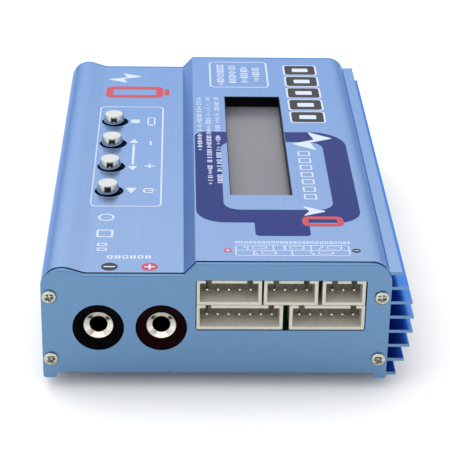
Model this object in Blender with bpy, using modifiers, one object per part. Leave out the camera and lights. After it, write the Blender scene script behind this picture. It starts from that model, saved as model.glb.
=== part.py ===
"""Balance battery charger: two aluminium extrusions closed by an end plate at each end.

Frame: +Z up, X across the case with the cooling fins at +X, Y along the case with the output
end at -Y. The origin is the middle of the underside of the four rubber feet.
"""

import math

import bmesh
import bpy
from mathutils import Vector

MM = 0.001

# Case section, seen from the output end. X is measured from the middle of the whole width.
CASE_HALF_WIDTH = 43.0 * MM  # left wall at -X, longest fins at +X
BODY_RIGHT_X = 37.4 * MM  # right edge of the end plates; the fins stand out from here
FOOT_DROP = 2.6 * MM  # the rubber feet stand this far below the runners
RUNNER_HEIGHT = 1.4 * MM
RUNNER_WIDTH = 2.8 * MM
RUNNER_SPLAY = 0.6 * MM  # how far a runner's inner flank leans outwards
UPPER_DECK_Z = 33.0 * MM
LOWER_DECK_Z = 29.9 * MM
SLOPE_TOP_X = -7.6 * MM
SLOPE_FOOT_X = -10.4 * MM
CORNER_RADIUS = 5.0 * MM
HUMP_X = -38.0 * MM  # centre of the rounded left shoulder
HUMP_Z = 26.3 * MM
HUMP_RADIUS = 5.0 * MM
HUMP_SLOPE = math.radians(18)  # fall from the shoulder to the lower deck
ARC_STEPS = 8

# Lengths along Y
CASE_LENGTH = 128.0 * MM
PLATE_THICKNESS = 1.2 * MM
PLATE_GAP = 0.3 * MM
PLATE_INSET = 0.15 * MM  # the plates are this much smaller than the case all round
CASE_END_Y = CASE_LENGTH / 2
PLATE_INNER_Y = CASE_END_Y + PLATE_GAP
PLATE_OUTER_Y = PLATE_INNER_Y + PLATE_THICKNESS

# Walls
COVER_WALL = 1.5 * MM
BASE_TOP_Z = FOOT_DROP + RUNNER_HEIGHT + 2.0 * MM
BASE_UNDER_Z = FOOT_DROP + RUNNER_HEIGHT
LEFT_SEAM_Z = 11.2 * MM
SEAM_GAP = 0.3 * MM
LEFT_WALL_INNER_X = -40.2 * MM
TONGUE_WIDTH = 1.0 * MM
TONGUE_HEIGHT = 1.8 * MM
HEAT_WALL_OUTER_X = 36.9 * MM
HEAT_WALL_INNER_X = 33.4 * MM
RAIL_HEIGHT = 1.5 * MM  # lands along the base that carry the main board
RAIL_WIDTH = 5.0 * MM
RAIL_XS = (-30.0 * MM, 24.0 * MM)
CONTACT_GAP = 0.05 * MM  # between pieces that rest on each other

# Cooling fins on the right wall: their tips lie on an arc
FIN_COUNT = 8
FIN_PITCH = 3.79 * MM
FIN_THICKNESS = 0.85 * MM
FIN_FIRST_Z = FOOT_DROP + 0.6 * MM
FIN_ARC_RADIUS = 28.0 * MM
HEAT_TOP_Z = FIN_FIRST_Z + (FIN_COUNT - 1) * FIN_PITCH + FIN_THICKNESS / 2

# Fine grooves on the left wall
GROOVE_COUNT = 6
GROOVE_PITCH = 1.4 * MM
GROOVE_DEPTH = 0.25 * MM
GROOVE_FIRST_Z = 15.6 * MM

# End plate screws, in ports that run the length of the extrusions
SCREW_LEFT_X = -40.9 * MM
SCREW_RIGHT_X = 35.1 * MM
SCREW_LOW_Z = 8.0 * MM
SCREW_HIGH_Z = 24.3 * MM
SCREW_RADIUS = 0.8 * MM
SCREW_HOLE_RADIUS = 1.1 * MM
SCREW_HEAD_RADIUS = 1.7 * MM
SCREW_HEAD_HEIGHT = 1.1 * MM
SCREW_LENGTH = 7.0 * MM
PORT_RADIUS = 0.85 * MM
BOSS_RADIUS = 1.9 * MM

# Display
WINDOW_X = 8.8 * MM
WINDOW_Y = 2.6 * MM
WINDOW_WIDTH = 15.2 * MM
WINDOW_LENGTH = 63.8 * MM
BEZEL_WALL = 0.4 * MM
BEZEL_TOP_Z = UPPER_DECK_Z - 0.15 * MM
BEZEL_FLANGE_Z = 30.0 * MM
BEZEL_FLANGE_TOP_Z = 31.3 * MM
MODULE_WIDTH = 24.0 * MM
MODULE_LENGTH = 71.0 * MM
GLASS_TOP_Z = 29.75 * MM
GLASS_BOTTOM_Z = 28.0 * MM
BACKLIGHT_BOTTOM_Z = 25.7 * MM
LCD_BOARD_WIDTH = 36.0 * MM
LCD_BOARD_LENGTH = 80.0 * MM
BOARD_THICKNESS = 1.6 * MM
LCD_BOARD_Z = 24.0 * MM

# Push buttons, from the far end (stop) to the near end (start)
BUTTON_NAMES = ("start", "increase", "decrease", "stop")
BUTTON_X = -29.2 * MM
BUTTON_FIRST_Y = -20.8 * MM
BUTTON_PITCH = 14.75 * MM
BUTTON_HOLE_X = -28.9 * MM  # the holes are drilled a little to the right of the caps
BUTTON_HOLE_RADIUS = 3.55 * MM
BUTTON_RADIUS = 2.8 * MM
BUTTON_TOP_Z = LOWER_DECK_Z + 2.3 * MM
BUTTON_EDGE = 0.45 * MM
COLLAR_RADIUS = 4.2 * MM
COLLAR_TOP_Z = 27.8 * MM
COLLAR_BOTTOM_Z = 27.0 * MM
PLUNGER_RADIUS = 1.7 * MM
PLUNGER_BOTTOM_Z = 23.6 * MM
SWITCH_SIDE = 6.0 * MM
SWITCH_TOP_Z = 25.2 * MM
SWITCH_WELL_RADIUS = 1.85 * MM
SWITCH_WELL_Z = 22.9 * MM
KEY_BOARD_Z = 20.0 * MM
KEY_BOARD_WIDTH = 11.0 * MM
KEY_BOARD_LENGTH = 58.0 * MM

# Output sockets for 4 mm plugs
SOCKET_XS = {"negative": -29.9 * MM, "positive": -15.4 * MM}
SOCKET_Z = 16.2 * MM
SOCKET_HOLE_RADIUS = 5.9 * MM
SOCKET_RADIUS = 6.4 * MM
SOCKET_FACE_Y = -PLATE_OUTER_Y + 1.1 * MM
SOCKET_FLANGE_SETBACK = 0.5 * MM  # the flange rests behind the plate
SOCKET_COLLAR_RADIUS = 5.8 * MM
SOCKET_COLLAR_RISE = 1.05 * MM
SOCKET_DISH_RADII = (4.4 * MM, 5.2 * MM)
SOCKET_DEPTH = 14.0 * MM
CONTACT_RADIUS = 3.5 * MM
CONTACT_BORE_RADIUS = 2.05 * MM
CONTACT_MOUTH_RADIUS = 3.25 * MM
CONTACT_MOUTH_DEPTH = 0.75 * MM
CONTACT_BORE_DEPTH = 13.0 * MM
CONTACT_TAIL_RADIUS = 1.2 * MM
CONTACT_TAIL_LENGTH = 5.0 * MM

# Balance headers: 2.5 mm pitch, in two rows in one window of the front plate
HEADER_WINDOW_X = (-7.5 * MM, 31.6 * MM)
HEADER_WINDOW_Z = (15.6 * MM, 28.6 * MM)
HEADER_WINDOW_CORNER = 0.5 * MM
PIN_PITCH = 2.5 * MM
HEADER_END = 2.45 * MM  # from an outer pin to the end of the housing
HEADER_HEIGHT = 6.35 * MM
HEADER_DEPTH = 7.0 * MM
HEADER_FACE_Y = -PLATE_OUTER_Y + 0.2 * MM
HEADER_WALL = 0.75 * MM
HEADER_CAVITY_DEPTH = 5.8 * MM
HEADER_PIN_SIDE = 0.64 * MM
HEADER_PIN_RISE = 2.7 * MM  # pin row above the underside of the housing
HEADER_PIN_TIP = 2.3 * MM  # pin tips behind the mouth
HEADER_SLOT_WIDTH = 1.35 * MM
HEADER_SLOT_SHIFT = 0.3 * MM
HEADER_ROW_Z = {"lower": 15.7 * MM, "upper": 22.15 * MM}
HEADERS = {  # cells: (pins, row, left end)
    4: (5, "upper", -7.35 * MM),
    3: (4, "upper", 8.05 * MM),
    2: (3, "upper", 21.45 * MM),
    6: (7, "lower", -7.35 * MM),
    5: (6, "lower", 14.05 * MM),
}
BALANCE_BOARD_X = (-8.5 * MM, 31.5 * MM)
BALANCE_BOARD_TOP_Z = 29.5 * MM

# Input end
JACK_X = -24.0 * MM
JACK_Z = 15.6 * MM
JACK_HOLE_RADIUS = 4.2 * MM
JACK_NOSE_RADIUS = 3.9 * MM
JACK_BORE_RADIUS = 3.1 * MM
JACK_BORE_DEPTH = 9.0 * MM
JACK_PIN_RADIUS = 1.0 * MM
JACK_PIN_TIP = 1.2 * MM
JACK_BODY = (10.0 * MM, 11.0 * MM, 11.5 * MM)
JACK_NOSE_LENGTH = 5.0 * MM
SENSOR_PORT_X = 1.0 * MM
SENSOR_PORT_PINS = 3

# Main board and what stands on it
MAIN_BOARD_X = (-38.4 * MM, 31.0 * MM)
MAIN_BOARD_HALF_LENGTH = 61.0 * MM
MAIN_BOARD_Z = BASE_TOP_Z + RAIL_HEIGHT + CONTACT_GAP
MAIN_BOARD_TOP_Z = MAIN_BOARD_Z + BOARD_THICKNESS
BOARD_SCREW_YS = (-40.0 * MM, 44.0 * MM)
BOARD_SCREW_RADIUS = 1.2 * MM
BOARD_SCREW_HEAD_RADIUS = 2.2 * MM
BOARD_SCREW_HEAD_HEIGHT = 1.2 * MM
TRANSISTOR_YS = (-19.0 * MM, -1.0 * MM, 17.0 * MM)
TRANSISTOR_SIZE = (4.4 * MM, 10.0 * MM, 15.0 * MM)
TRANSISTOR_Z = 19.0 * MM
CLAMP_BAR_SIZE = (2.0 * MM, 50.0 * MM, 5.0 * MM)
CLAMP_SCREW_YS = (-10.0 * MM, 8.0 * MM)
CLAMP_SCREW_RADIUS = 1.2 * MM
CLAMP_HEAD_RADIUS = 2.2 * MM
CLAMP_HEAD_HEIGHT = 1.4 * MM
CLAMP_HOLE_DEPTH = 2.6 * MM
INDUCTOR_SPOTS = ((16.0 * MM, -44.0 * MM), (16.0 * MM, 50.0 * MM))
INDUCTOR_RADIUS = 6.2 * MM
INDUCTOR_WIRE_RADIUS = 2.8 * MM
CAPACITOR_SPOTS = ((-12.0 * MM, 42.0 * MM), (-26.0 * MM, 42.0 * MM))
CAPACITOR_RADIUS = 5.0 * MM
CAPACITOR_HEIGHT = 12.5 * MM
CONTROLLER_SPOT = (8.0 * MM, 2.0 * MM)
CONTROLLER_SIDE = 14.0 * MM
CONTROLLER_HEIGHT = 1.4 * MM
BUZZER_SPOT = (-2.0 * MM, 30.0 * MM)
BUZZER_RADIUS = 4.6 * MM
BUZZER_HEIGHT = 5.5 * MM
PIN_STRIP_WIDTH = 2.5 * MM
LCD_STRIP_LENGTH = 40.6 * MM
LCD_STRIP_X = -7.4 * MM
KEY_STRIP_LENGTH = 15.2 * MM
KEY_STRIP_X = -35.6 * MM

# Rubber feet
FOOT_RADIUS = 4.5 * MM
FOOT_EDGE = 0.6 * MM
FOOT_XS = (-33.0 * MM, 28.0 * MM)
FOOT_Y = 51.0 * MM

FINE_STEPS = 28
ROUND_STEPS = 20
SMALL_STEPS = 12

FINISHES = {  # name: (base colour, roughness, metallic)
    "blue_anodised": ((0.27, 0.42, 0.77), 0.38, 0.9),
    "nickel": ((0.72, 0.70, 0.66), 0.25, 1.0),
    "chrome": ((0.85, 0.85, 0.84), 0.08, 1.0),
    "steel": ((0.45, 0.45, 0.45), 0.40, 1.0),
    "black_plastic": ((0.01, 0.01, 0.012), 0.35, 0.0),
    "red_plastic": ((0.10, 0.005, 0.005), 0.35, 0.0),
    "white_nylon": ((0.72, 0.71, 0.62), 0.45, 0.0),
    "lcd_glass": ((0.28, 0.28, 0.31), 0.08, 0.0),
    "green_board": ((0.02, 0.16, 0.06), 0.45, 0.0),
    "rubber": ((0.02, 0.02, 0.02), 0.80, 0.0),
    "copper": ((0.72, 0.32, 0.14), 0.35, 1.0),
    "can_aluminium": ((0.60, 0.60, 0.62), 0.30, 1.0),
}


# ---------------------------------------------------------------- scene and materials
def clear_scene():
    for obj in list(bpy.data.objects):
        bpy.data.objects.remove(obj, do_unlink=True)


def make_collection(name, parent=None):
    collection = bpy.data.collections.new(name)
    (parent or bpy.context.scene.collection).children.link(collection)
    return collection


def make_material(name):
    colour, roughness, metallic = FINISHES[name]
    material = bpy.data.materials.new(name)
    material.use_nodes = True
    shader = material.node_tree.nodes["Principled BSDF"]
    shader.inputs["Base Color"].default_value = (*colour, 1.0)
    shader.inputs["Roughness"].default_value = roughness
    shader.inputs["Metallic"].default_value = metallic
    return material


class Workshop:
    """Holds the two collections and the materials while the parts are made."""

    def __init__(self):
        self.parts = make_collection("balance_charger")
        self.cutters = make_collection("cutters")
        self.materials = {name: make_material(name) for name in FINISHES}

    def place(self, obj, finish):
        """Puts a part in the charger's collection and gives it its material."""
        self.move(obj, self.parts)
        obj.data.materials.clear()
        obj.data.materials.append(self.materials[finish])
        return obj

    def hide(self, obj, collection=None):
        """Makes an object a cutter, which isn't part of the charger."""
        self.move(obj, collection or self.cutters)
        obj.hide_render = True
        obj.display_type = "WIRE"
        return obj

    @staticmethod
    def move(obj, collection):
        for old in list(obj.users_collection):
            old.objects.unlink(obj)
        collection.objects.link(obj)


# ---------------------------------------------------------------- shapes
def arc(centre_x, centre_z, radius, start, end, steps=ARC_STEPS):
    """Points along an arc, in degrees, both ends included."""
    angles = [math.radians(start + (end - start) * i / steps) for i in range(steps + 1)]
    return [(centre_x + radius * math.cos(a), centre_z + radius * math.sin(a)) for a in angles]


def circle(centre_x, centre_z, radius, steps=ROUND_STEPS):
    return arc(centre_x, centre_z, radius, 0, 360, steps)[:-1]


def rectangle(x_range, z_range, corner=0.0):
    """A rectangle's outline, with rounded corners if corner is above 0."""
    (x0, x1), (z0, z1) = x_range, z_range
    if not corner:
        return [(x0, z0), (x1, z0), (x1, z1), (x0, z1)]
    points = []
    for x, z, start in (
        (x1 - corner, z0 + corner, -90),
        (x1 - corner, z1 - corner, 0),
        (x0 + corner, z1 - corner, 90),
        (x0 + corner, z0 + corner, 180),
    ):
        points += arc(x, z, corner, start, start + 90, 3)
    return points


def prism(name, outlines, y_range):
    """A solid of one X-Z section along Y. The first outline is the outside, the rest are holes."""
    curve = bpy.data.curves.new(name, "CURVE")
    curve.dimensions = "2D"
    curve.fill_mode = "BOTH"
    curve.extrude = (y_range[1] - y_range[0]) / 2
    for outline in outlines:
        spline = curve.splines.new("POLY")
        spline.points.add(len(outline) - 1)
        for point, (x, z) in zip(spline.points, outline):
            point.co = (x, z, 0.0, 1.0)
        spline.use_cyclic_u = True
    guide = bpy.data.objects.new(name + "_section", curve)
    bpy.context.scene.collection.objects.link(guide)
    guide.rotation_euler = (math.pi / 2, 0.0, 0.0)
    guide.location = (0.0, sum(y_range) / 2, 0.0)
    bpy.context.view_layer.update()

    evaluated = guide.evaluated_get(bpy.context.evaluated_depsgraph_get())
    mesh = bpy.data.meshes.new_from_object(evaluated)
    mesh.name = name
    mesh.transform(guide.matrix_world)
    bpy.data.objects.remove(guide, do_unlink=True)
    weld_caps(mesh)
    obj = bpy.data.objects.new(name, mesh)
    bpy.context.scene.collection.objects.link(obj)
    return obj


def weld_caps(mesh):
    shape = bmesh.new()
    shape.from_mesh(mesh)
    bmesh.ops.remove_doubles(shape, verts=shape.verts, dist=1e-6)
    bmesh.ops.recalc_face_normals(shape, faces=shape.faces)
    shape.to_mesh(mesh)
    shape.free()


def box(name, x_range, y_range, z_range):
    """A box between the given limits."""
    ranges = (x_range, y_range, z_range)
    bpy.ops.mesh.primitive_cube_add(size=1.0, location=[sum(r) / 2 for r in ranges])
    obj = bpy.context.object
    obj.name = name
    obj.scale = [r[1] - r[0] for r in ranges]
    bpy.ops.object.transform_apply(location=False, rotation=False, scale=True)
    return obj


def centred_box(name, centre, size):
    return box(name, *[(c - s / 2, c + s / 2) for c, s in zip(centre, size)])


def cylinder(name, start, end, radius, steps=ROUND_STEPS):
    """A cylinder between two points on its axis."""
    start, end = Vector(start), Vector(end)
    axis = end - start
    bpy.ops.mesh.primitive_cylinder_add(
        vertices=steps, radius=radius, depth=axis.length, location=(start + end) / 2
    )
    obj = bpy.context.object
    obj.name = name
    obj.rotation_euler = axis.to_track_quat("Z", "Y").to_euler()
    return obj


def turned(name, profile, location, axis, steps, closed=False):
    """A turned shape. The profile holds (radius, height) and runs down its outer side.

    The height is measured along the axis from the location. A closed profile makes a ring.
    """
    mesh = bpy.data.meshes.new(name)
    count = len(profile)
    edges = [(i, i + 1) for i in range(count - 1)]
    if closed:
        edges.append((count - 1, 0))
    mesh.from_pydata([(radius, 0.0, height) for radius, height in profile], edges, [])
    obj = bpy.data.objects.new(name, mesh)
    bpy.context.scene.collection.objects.link(obj)
    screw = obj.modifiers.new("turn", "SCREW")
    screw.axis = "Z"
    screw.steps = steps
    screw.render_steps = steps
    screw.use_merge_vertices = True
    screw.merge_threshold = 1e-6
    screw.use_smooth_shade = False
    obj.location = location
    obj.rotation_euler = Vector(axis).to_track_quat("Z", "Y").to_euler()
    return obj


def combine(obj, operation, other):
    """Adds a Boolean with one object or with all the objects of a collection."""
    modifier = obj.modifiers.new(operation.lower(), "BOOLEAN")
    modifier.operation = operation
    modifier.solver = "EXACT"
    if isinstance(other, bpy.types.Collection):
        modifier.operand_type = "COLLECTION"
        modifier.collection = other
    else:
        modifier.object = other
    return modifier


# ---------------------------------------------------------------- case section
def deck_path(inset):
    """Top of the case from the upper deck to the left wall, moved inwards by the inset."""
    slope = math.atan2(UPPER_DECK_Z - LOWER_DECK_Z, SLOPE_TOP_X - SLOPE_FOOT_X)
    shift = inset * math.tan(slope / 2)
    radius = HUMP_RADIUS - inset
    deck_z = LOWER_DECK_Z - inset
    leave_x = HUMP_X + radius * math.sin(HUMP_SLOPE)
    leave_z = HUMP_Z + radius * math.cos(HUMP_SLOPE)
    dip_x = leave_x + (leave_z - deck_z) / math.tan(HUMP_SLOPE)
    return [
        (SLOPE_TOP_X + shift, UPPER_DECK_Z - inset),
        (SLOPE_FOOT_X + shift, deck_z),
        (dip_x, deck_z),
        *arc(HUMP_X, HUMP_Z, radius, 90 - math.degrees(HUMP_SLOPE), 180),
    ]


def corner_arc(inset, start):
    """The rounded right edge of the upper deck."""
    return arc(
        BODY_RIGHT_X - CORNER_RADIUS,
        UPPER_DECK_Z - CORNER_RADIUS,
        CORNER_RADIUS - inset,
        start,
        90,
    )


def runner(side_x, inward):
    """The three corners of a runner under the base, from its outer side to its inner one."""
    return [
        (side_x, FOOT_DROP),
        (side_x + inward * RUNNER_WIDTH, FOOT_DROP),
        (side_x + inward * (RUNNER_WIDTH + RUNNER_SPLAY), BASE_UNDER_Z),
    ]


def fin_tip_x(index):
    """Fin tips lie on an arc whose highest pair reaches the full half width."""
    offset = (index - (FIN_COUNT - 1) / 2) * FIN_PITCH
    drop = FIN_ARC_RADIUS - math.sqrt(FIN_ARC_RADIUS**2 - offset**2)
    least = FIN_ARC_RADIUS - math.sqrt(FIN_ARC_RADIUS**2 - (FIN_PITCH / 2) ** 2)
    return CASE_HALF_WIDTH - (drop - least)


def screw_spots():
    return [(x, z) for x in (SCREW_LEFT_X, SCREW_RIGHT_X) for z in (SCREW_LOW_Z, SCREW_HIGH_Z)]


# ---------------------------------------------------------------- case
def make_top_cover(shop):
    """Upper extrusion: decks, left shoulder and left wall, with a hooked lip on the right."""
    seam_z = HEAT_TOP_Z + SEAM_GAP
    rise = seam_z - (UPPER_DECK_Z - CORNER_RADIUS)
    outer = corner_arc(0.0, math.degrees(math.asin(rise / CORNER_RADIUS))) + deck_path(0.0)
    for i in reversed(range(GROOVE_COUNT)):
        z = GROOVE_FIRST_Z + i * GROOVE_PITCH
        half = GROOVE_PITCH / 4
        outer += [
            (-CASE_HALF_WIDTH, z + half),
            (-CASE_HALF_WIDTH + GROOVE_DEPTH, z),
            (-CASE_HALF_WIDTH, z - half),
        ]
    bottom_z = LEFT_SEAM_Z + SEAM_GAP
    lip_right = HEAT_WALL_INNER_X - SEAM_GAP
    lip_left = lip_right - 1.2 * MM
    lip_bottom = seam_z - 2.2 * MM
    inner = [(lip_right, seam_z), (lip_right, lip_bottom), (lip_left, lip_bottom)]
    inner += [(lip_left, UPPER_DECK_Z - COVER_WALL)] + deck_path(COVER_WALL)
    inner.append((-CASE_HALF_WIDTH + COVER_WALL, bottom_z))
    outline = outer + [(-CASE_HALF_WIDTH, bottom_z)] + inner[::-1]
    length = (-CASE_END_Y, CASE_END_Y)
    cover = prism("top_cover", [outline], length)

    boss = shop.hide(
        prism("cover_boss", [circle(SCREW_LEFT_X, SCREW_HIGH_Z, BOSS_RADIUS)], length)
    )
    combine(cover, "UNION", boss)
    holes = make_collection("cover_holes", shop.cutters)
    past = CASE_END_Y + MM
    port = cylinder(
        "cover_port",
        (SCREW_LEFT_X, -past, SCREW_HIGH_Z),
        (SCREW_LEFT_X, past, SCREW_HIGH_Z),
        PORT_RADIUS,
        SMALL_STEPS,
    )
    window = centred_box(
        "cover_window",
        (WINDOW_X, WINDOW_Y, UPPER_DECK_Z),
        (WINDOW_WIDTH, WINDOW_LENGTH, 4 * COVER_WALL),
    )
    shop.hide(port, holes)
    shop.hide(window, holes)
    for name, y in button_spots():
        hole = cylinder(
            f"cover_hole_{name}",
            (BUTTON_HOLE_X, y, LOWER_DECK_Z - 2 * COVER_WALL),
            (BUTTON_HOLE_X, y, LOWER_DECK_Z + COVER_WALL),
            BUTTON_HOLE_RADIUS,
            FINE_STEPS,
        )
        shop.hide(hole, holes)
    combine(cover, "DIFFERENCE", holes)
    return shop.place(cover, "blue_anodised")


def make_base_tray(shop):
    """Lower extrusion: base, runners, board rails, left wall and the finned right wall."""
    outline = [(-CASE_HALF_WIDTH, LEFT_SEAM_Z)]
    outline += runner(-CASE_HALF_WIDTH, 1)
    outline += runner(HEAT_WALL_OUTER_X, -1)[::-1]
    for i in range(FIN_COUNT):
        z = FIN_FIRST_Z + i * FIN_PITCH
        low, high = z - FIN_THICKNESS / 2, z + FIN_THICKNESS / 2
        tip = fin_tip_x(i)
        outline += [(HEAT_WALL_OUTER_X, low), (tip, low), (tip, high)]
        if i < FIN_COUNT - 1:
            outline.append((HEAT_WALL_OUTER_X, high))
    outline += [(HEAT_WALL_INNER_X, HEAT_TOP_Z), (HEAT_WALL_INNER_X, BASE_TOP_Z)]
    for x in reversed(RAIL_XS):
        right, left = x + RAIL_WIDTH / 2, x - RAIL_WIDTH / 2
        top = BASE_TOP_Z + RAIL_HEIGHT
        outline += [(right, BASE_TOP_Z), (right, top), (left, top), (left, BASE_TOP_Z)]
    tongue_left = LEFT_WALL_INNER_X - TONGUE_WIDTH
    tongue_top = LEFT_SEAM_Z + TONGUE_HEIGHT
    outline += [
        (LEFT_WALL_INNER_X, BASE_TOP_Z),
        (LEFT_WALL_INNER_X, tongue_top),
        (tongue_left, tongue_top),
        (tongue_left, LEFT_SEAM_Z),
    ]
    ports = [
        circle(SCREW_RIGHT_X, z, PORT_RADIUS, SMALL_STEPS) for z in (SCREW_LOW_Z, SCREW_HIGH_Z)
    ]
    length = (-CASE_END_Y, CASE_END_Y)
    tray = prism("base_tray", [outline, *ports], length)

    boss = prism("tray_boss", [circle(SCREW_LEFT_X, SCREW_LOW_Z, BOSS_RADIUS)], length)
    combine(tray, "UNION", shop.hide(boss))
    holes = make_collection("tray_holes", shop.cutters)
    past = CASE_END_Y + MM
    port = cylinder(
        "tray_port",
        (SCREW_LEFT_X, -past, SCREW_LOW_Z),
        (SCREW_LEFT_X, past, SCREW_LOW_Z),
        PORT_RADIUS,
        SMALL_STEPS,
    )
    shop.hide(port, holes)
    for i, (x, y) in enumerate(board_screw_spots()):
        sink = turned(
            f"tray_countersink_{i + 1}",
            countersunk_profile(0.15 * MM, MM, RAIL_HEIGHT + 3 * MM),
            (x, y, BASE_UNDER_Z),
            (0, 0, -1),
            ROUND_STEPS,
        )
        shop.hide(sink, holes)
    for i, y in enumerate(CLAMP_SCREW_YS):
        hole = cylinder(
            f"tray_clamp_hole_{i + 1}",
            (HEAT_WALL_INNER_X - MM, y, TRANSISTOR_Z),
            (HEAT_WALL_INNER_X + CLAMP_HOLE_DEPTH, y, TRANSISTOR_Z),
            CLAMP_SCREW_RADIUS + 0.1 * MM,
            SMALL_STEPS,
        )
        shop.hide(hole, holes)
    combine(tray, "DIFFERENCE", holes)
    return shop.place(tray, "blue_anodised")


def plate_outline():
    """The outside of an end plate, with the runners' feet at its lower corners."""
    left, right = -CASE_HALF_WIDTH + PLATE_INSET, BODY_RIGHT_X - PLATE_INSET
    bottom = BASE_UNDER_Z + PLATE_INSET
    foot = FOOT_DROP + PLATE_INSET
    inner = RUNNER_WIDTH + RUNNER_SPLAY
    round_off = 0.7 * MM
    return [
        *corner_arc(PLATE_INSET, 0),
        *deck_path(PLATE_INSET),
        *arc(left + round_off, foot + round_off, round_off, 180, 270, 3),
        (left + RUNNER_WIDTH, foot),
        (left + inner, bottom),
        (right - inner, bottom),
        (right - RUNNER_WIDTH, foot),
        *arc(right - round_off, foot + round_off, round_off, 270, 360, 3),
    ]


def make_plate(shop, name, y_range, openings):
    screw_holes = [circle(x, z, SCREW_HOLE_RADIUS, SMALL_STEPS) for x, z in screw_spots()]
    plate = prism(name, [plate_outline(), *screw_holes, *openings], y_range)
    return shop.place(plate, "blue_anodised")


def make_end_plates(shop):
    sockets = [
        circle(x, SOCKET_Z, SOCKET_HOLE_RADIUS, FINE_STEPS) for x in SOCKET_XS.values()
    ]
    window = rectangle(HEADER_WINDOW_X, HEADER_WINDOW_Z, HEADER_WINDOW_CORNER)
    make_plate(shop, "front_plate", (-PLATE_OUTER_Y, -PLATE_INNER_Y), [*sockets, window])

    jack = circle(JACK_X, JACK_Z, JACK_HOLE_RADIUS, FINE_STEPS)
    margin = 0.15 * MM
    half = header_width(SENSOR_PORT_PINS) / 2 + margin
    z0 = MAIN_BOARD_TOP_Z + CONTACT_GAP - margin
    z1 = z0 + HEADER_HEIGHT + 2 * margin
    port = rectangle(
        (SENSOR_PORT_X - half, SENSOR_PORT_X + half), (z0, z1), HEADER_WINDOW_CORNER
    )
    make_plate(shop, "rear_plate", (PLATE_INNER_Y, PLATE_OUTER_Y), [jack, port])


def make_plate_screws(shop):
    """Pan-head screws that hold each end plate to the extrusions."""
    top = SCREW_HEAD_HEIGHT
    head, shank = SCREW_HEAD_RADIUS, SCREW_RADIUS
    profile = [
        (0.0, top),
        (0.55 * head, 0.93 * top),
        (0.88 * head, 0.6 * top),
        (head, 0.15 * top),
        (head, CONTACT_GAP),
        (shank, CONTACT_GAP),
        (shank, -SCREW_LENGTH),
        (0.0, -SCREW_LENGTH),
    ]
    for side, facing in (("front", -1), ("rear", 1)):
        for i, (x, z) in enumerate(screw_spots()):
            screw = turned(
                f"{side}_screw_{i + 1}",
                profile,
                (x, facing * PLATE_OUTER_Y, z),
                (0, facing, 0),
                SMALL_STEPS,
            )
            shop.place(screw, "nickel")


def make_feet(shop):
    """Rubber feet stuck in the hollow between the runners."""
    top = BASE_UNDER_Z - CONTACT_GAP
    profile = [
        (0.0, top),
        (FOOT_RADIUS, top),
        (FOOT_RADIUS - 0.2 * MM, FOOT_EDGE),
        (FOOT_RADIUS - FOOT_EDGE, 0.0),
        (0.0, 0.0),
    ]
    spots = [(x, y) for y in (-FOOT_Y, FOOT_Y) for x in FOOT_XS]
    for i, (x, y) in enumerate(spots):
        foot = turned(f"rubber_foot_{i + 1}", profile, (x, y, 0.0), (0, 0, 1), ROUND_STEPS)
        shop.place(foot, "rubber")


# ---------------------------------------------------------------- display
def make_display(shop):
    """A character display module under the window, with a bezel that lines the window."""
    half_w, half_l = WINDOW_WIDTH / 2 - CONTACT_GAP, WINDOW_LENGTH / 2 - CONTACT_GAP
    centre = (WINDOW_X, WINDOW_Y)
    flange = centred_box(
        "lcd_bezel",
        (*centre, (BEZEL_FLANGE_Z + BEZEL_FLANGE_TOP_Z) / 2),
        (MODULE_WIDTH, MODULE_LENGTH, BEZEL_FLANGE_TOP_Z - BEZEL_FLANGE_Z),
    )
    rim = box(
        "bezel_rim",
        (WINDOW_X - half_w, WINDOW_X + half_w),
        (WINDOW_Y - half_l, WINDOW_Y + half_l),
        (BEZEL_FLANGE_Z + 0.5 * MM, BEZEL_TOP_Z),
    )
    opening = centred_box(
        "bezel_opening",
        (*centre, UPPER_DECK_Z),
        (2 * (half_w - BEZEL_WALL), 2 * (half_l - BEZEL_WALL), 10 * MM),
    )
    combine(flange, "UNION", shop.hide(rim))
    combine(flange, "DIFFERENCE", shop.hide(opening))
    shop.place(flange, "black_plastic")

    glass = centred_box(
        "lcd_glass",
        (*centre, (GLASS_TOP_Z + GLASS_BOTTOM_Z) / 2),
        (MODULE_WIDTH - 2 * MM, MODULE_LENGTH - 2 * MM, GLASS_TOP_Z - GLASS_BOTTOM_Z),
    )
    shop.place(glass, "lcd_glass")
    backlight_top = GLASS_BOTTOM_Z - CONTACT_GAP
    backlight = centred_box(
        "lcd_backlight",
        (*centre, (backlight_top + BACKLIGHT_BOTTOM_Z) / 2),
        (MODULE_WIDTH, MODULE_LENGTH, backlight_top - BACKLIGHT_BOTTOM_Z),
    )
    shop.place(backlight, "white_nylon")
    board = centred_box(
        "lcd_board",
        (*centre, LCD_BOARD_Z + BOARD_THICKNESS / 2),
        (LCD_BOARD_WIDTH, LCD_BOARD_LENGTH, BOARD_THICKNESS),
    )
    shop.place(board, "green_board")


# ---------------------------------------------------------------- buttons
def button_spots():
    return [(name, BUTTON_FIRST_Y + i * BUTTON_PITCH) for i, name in enumerate(BUTTON_NAMES)]


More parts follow.
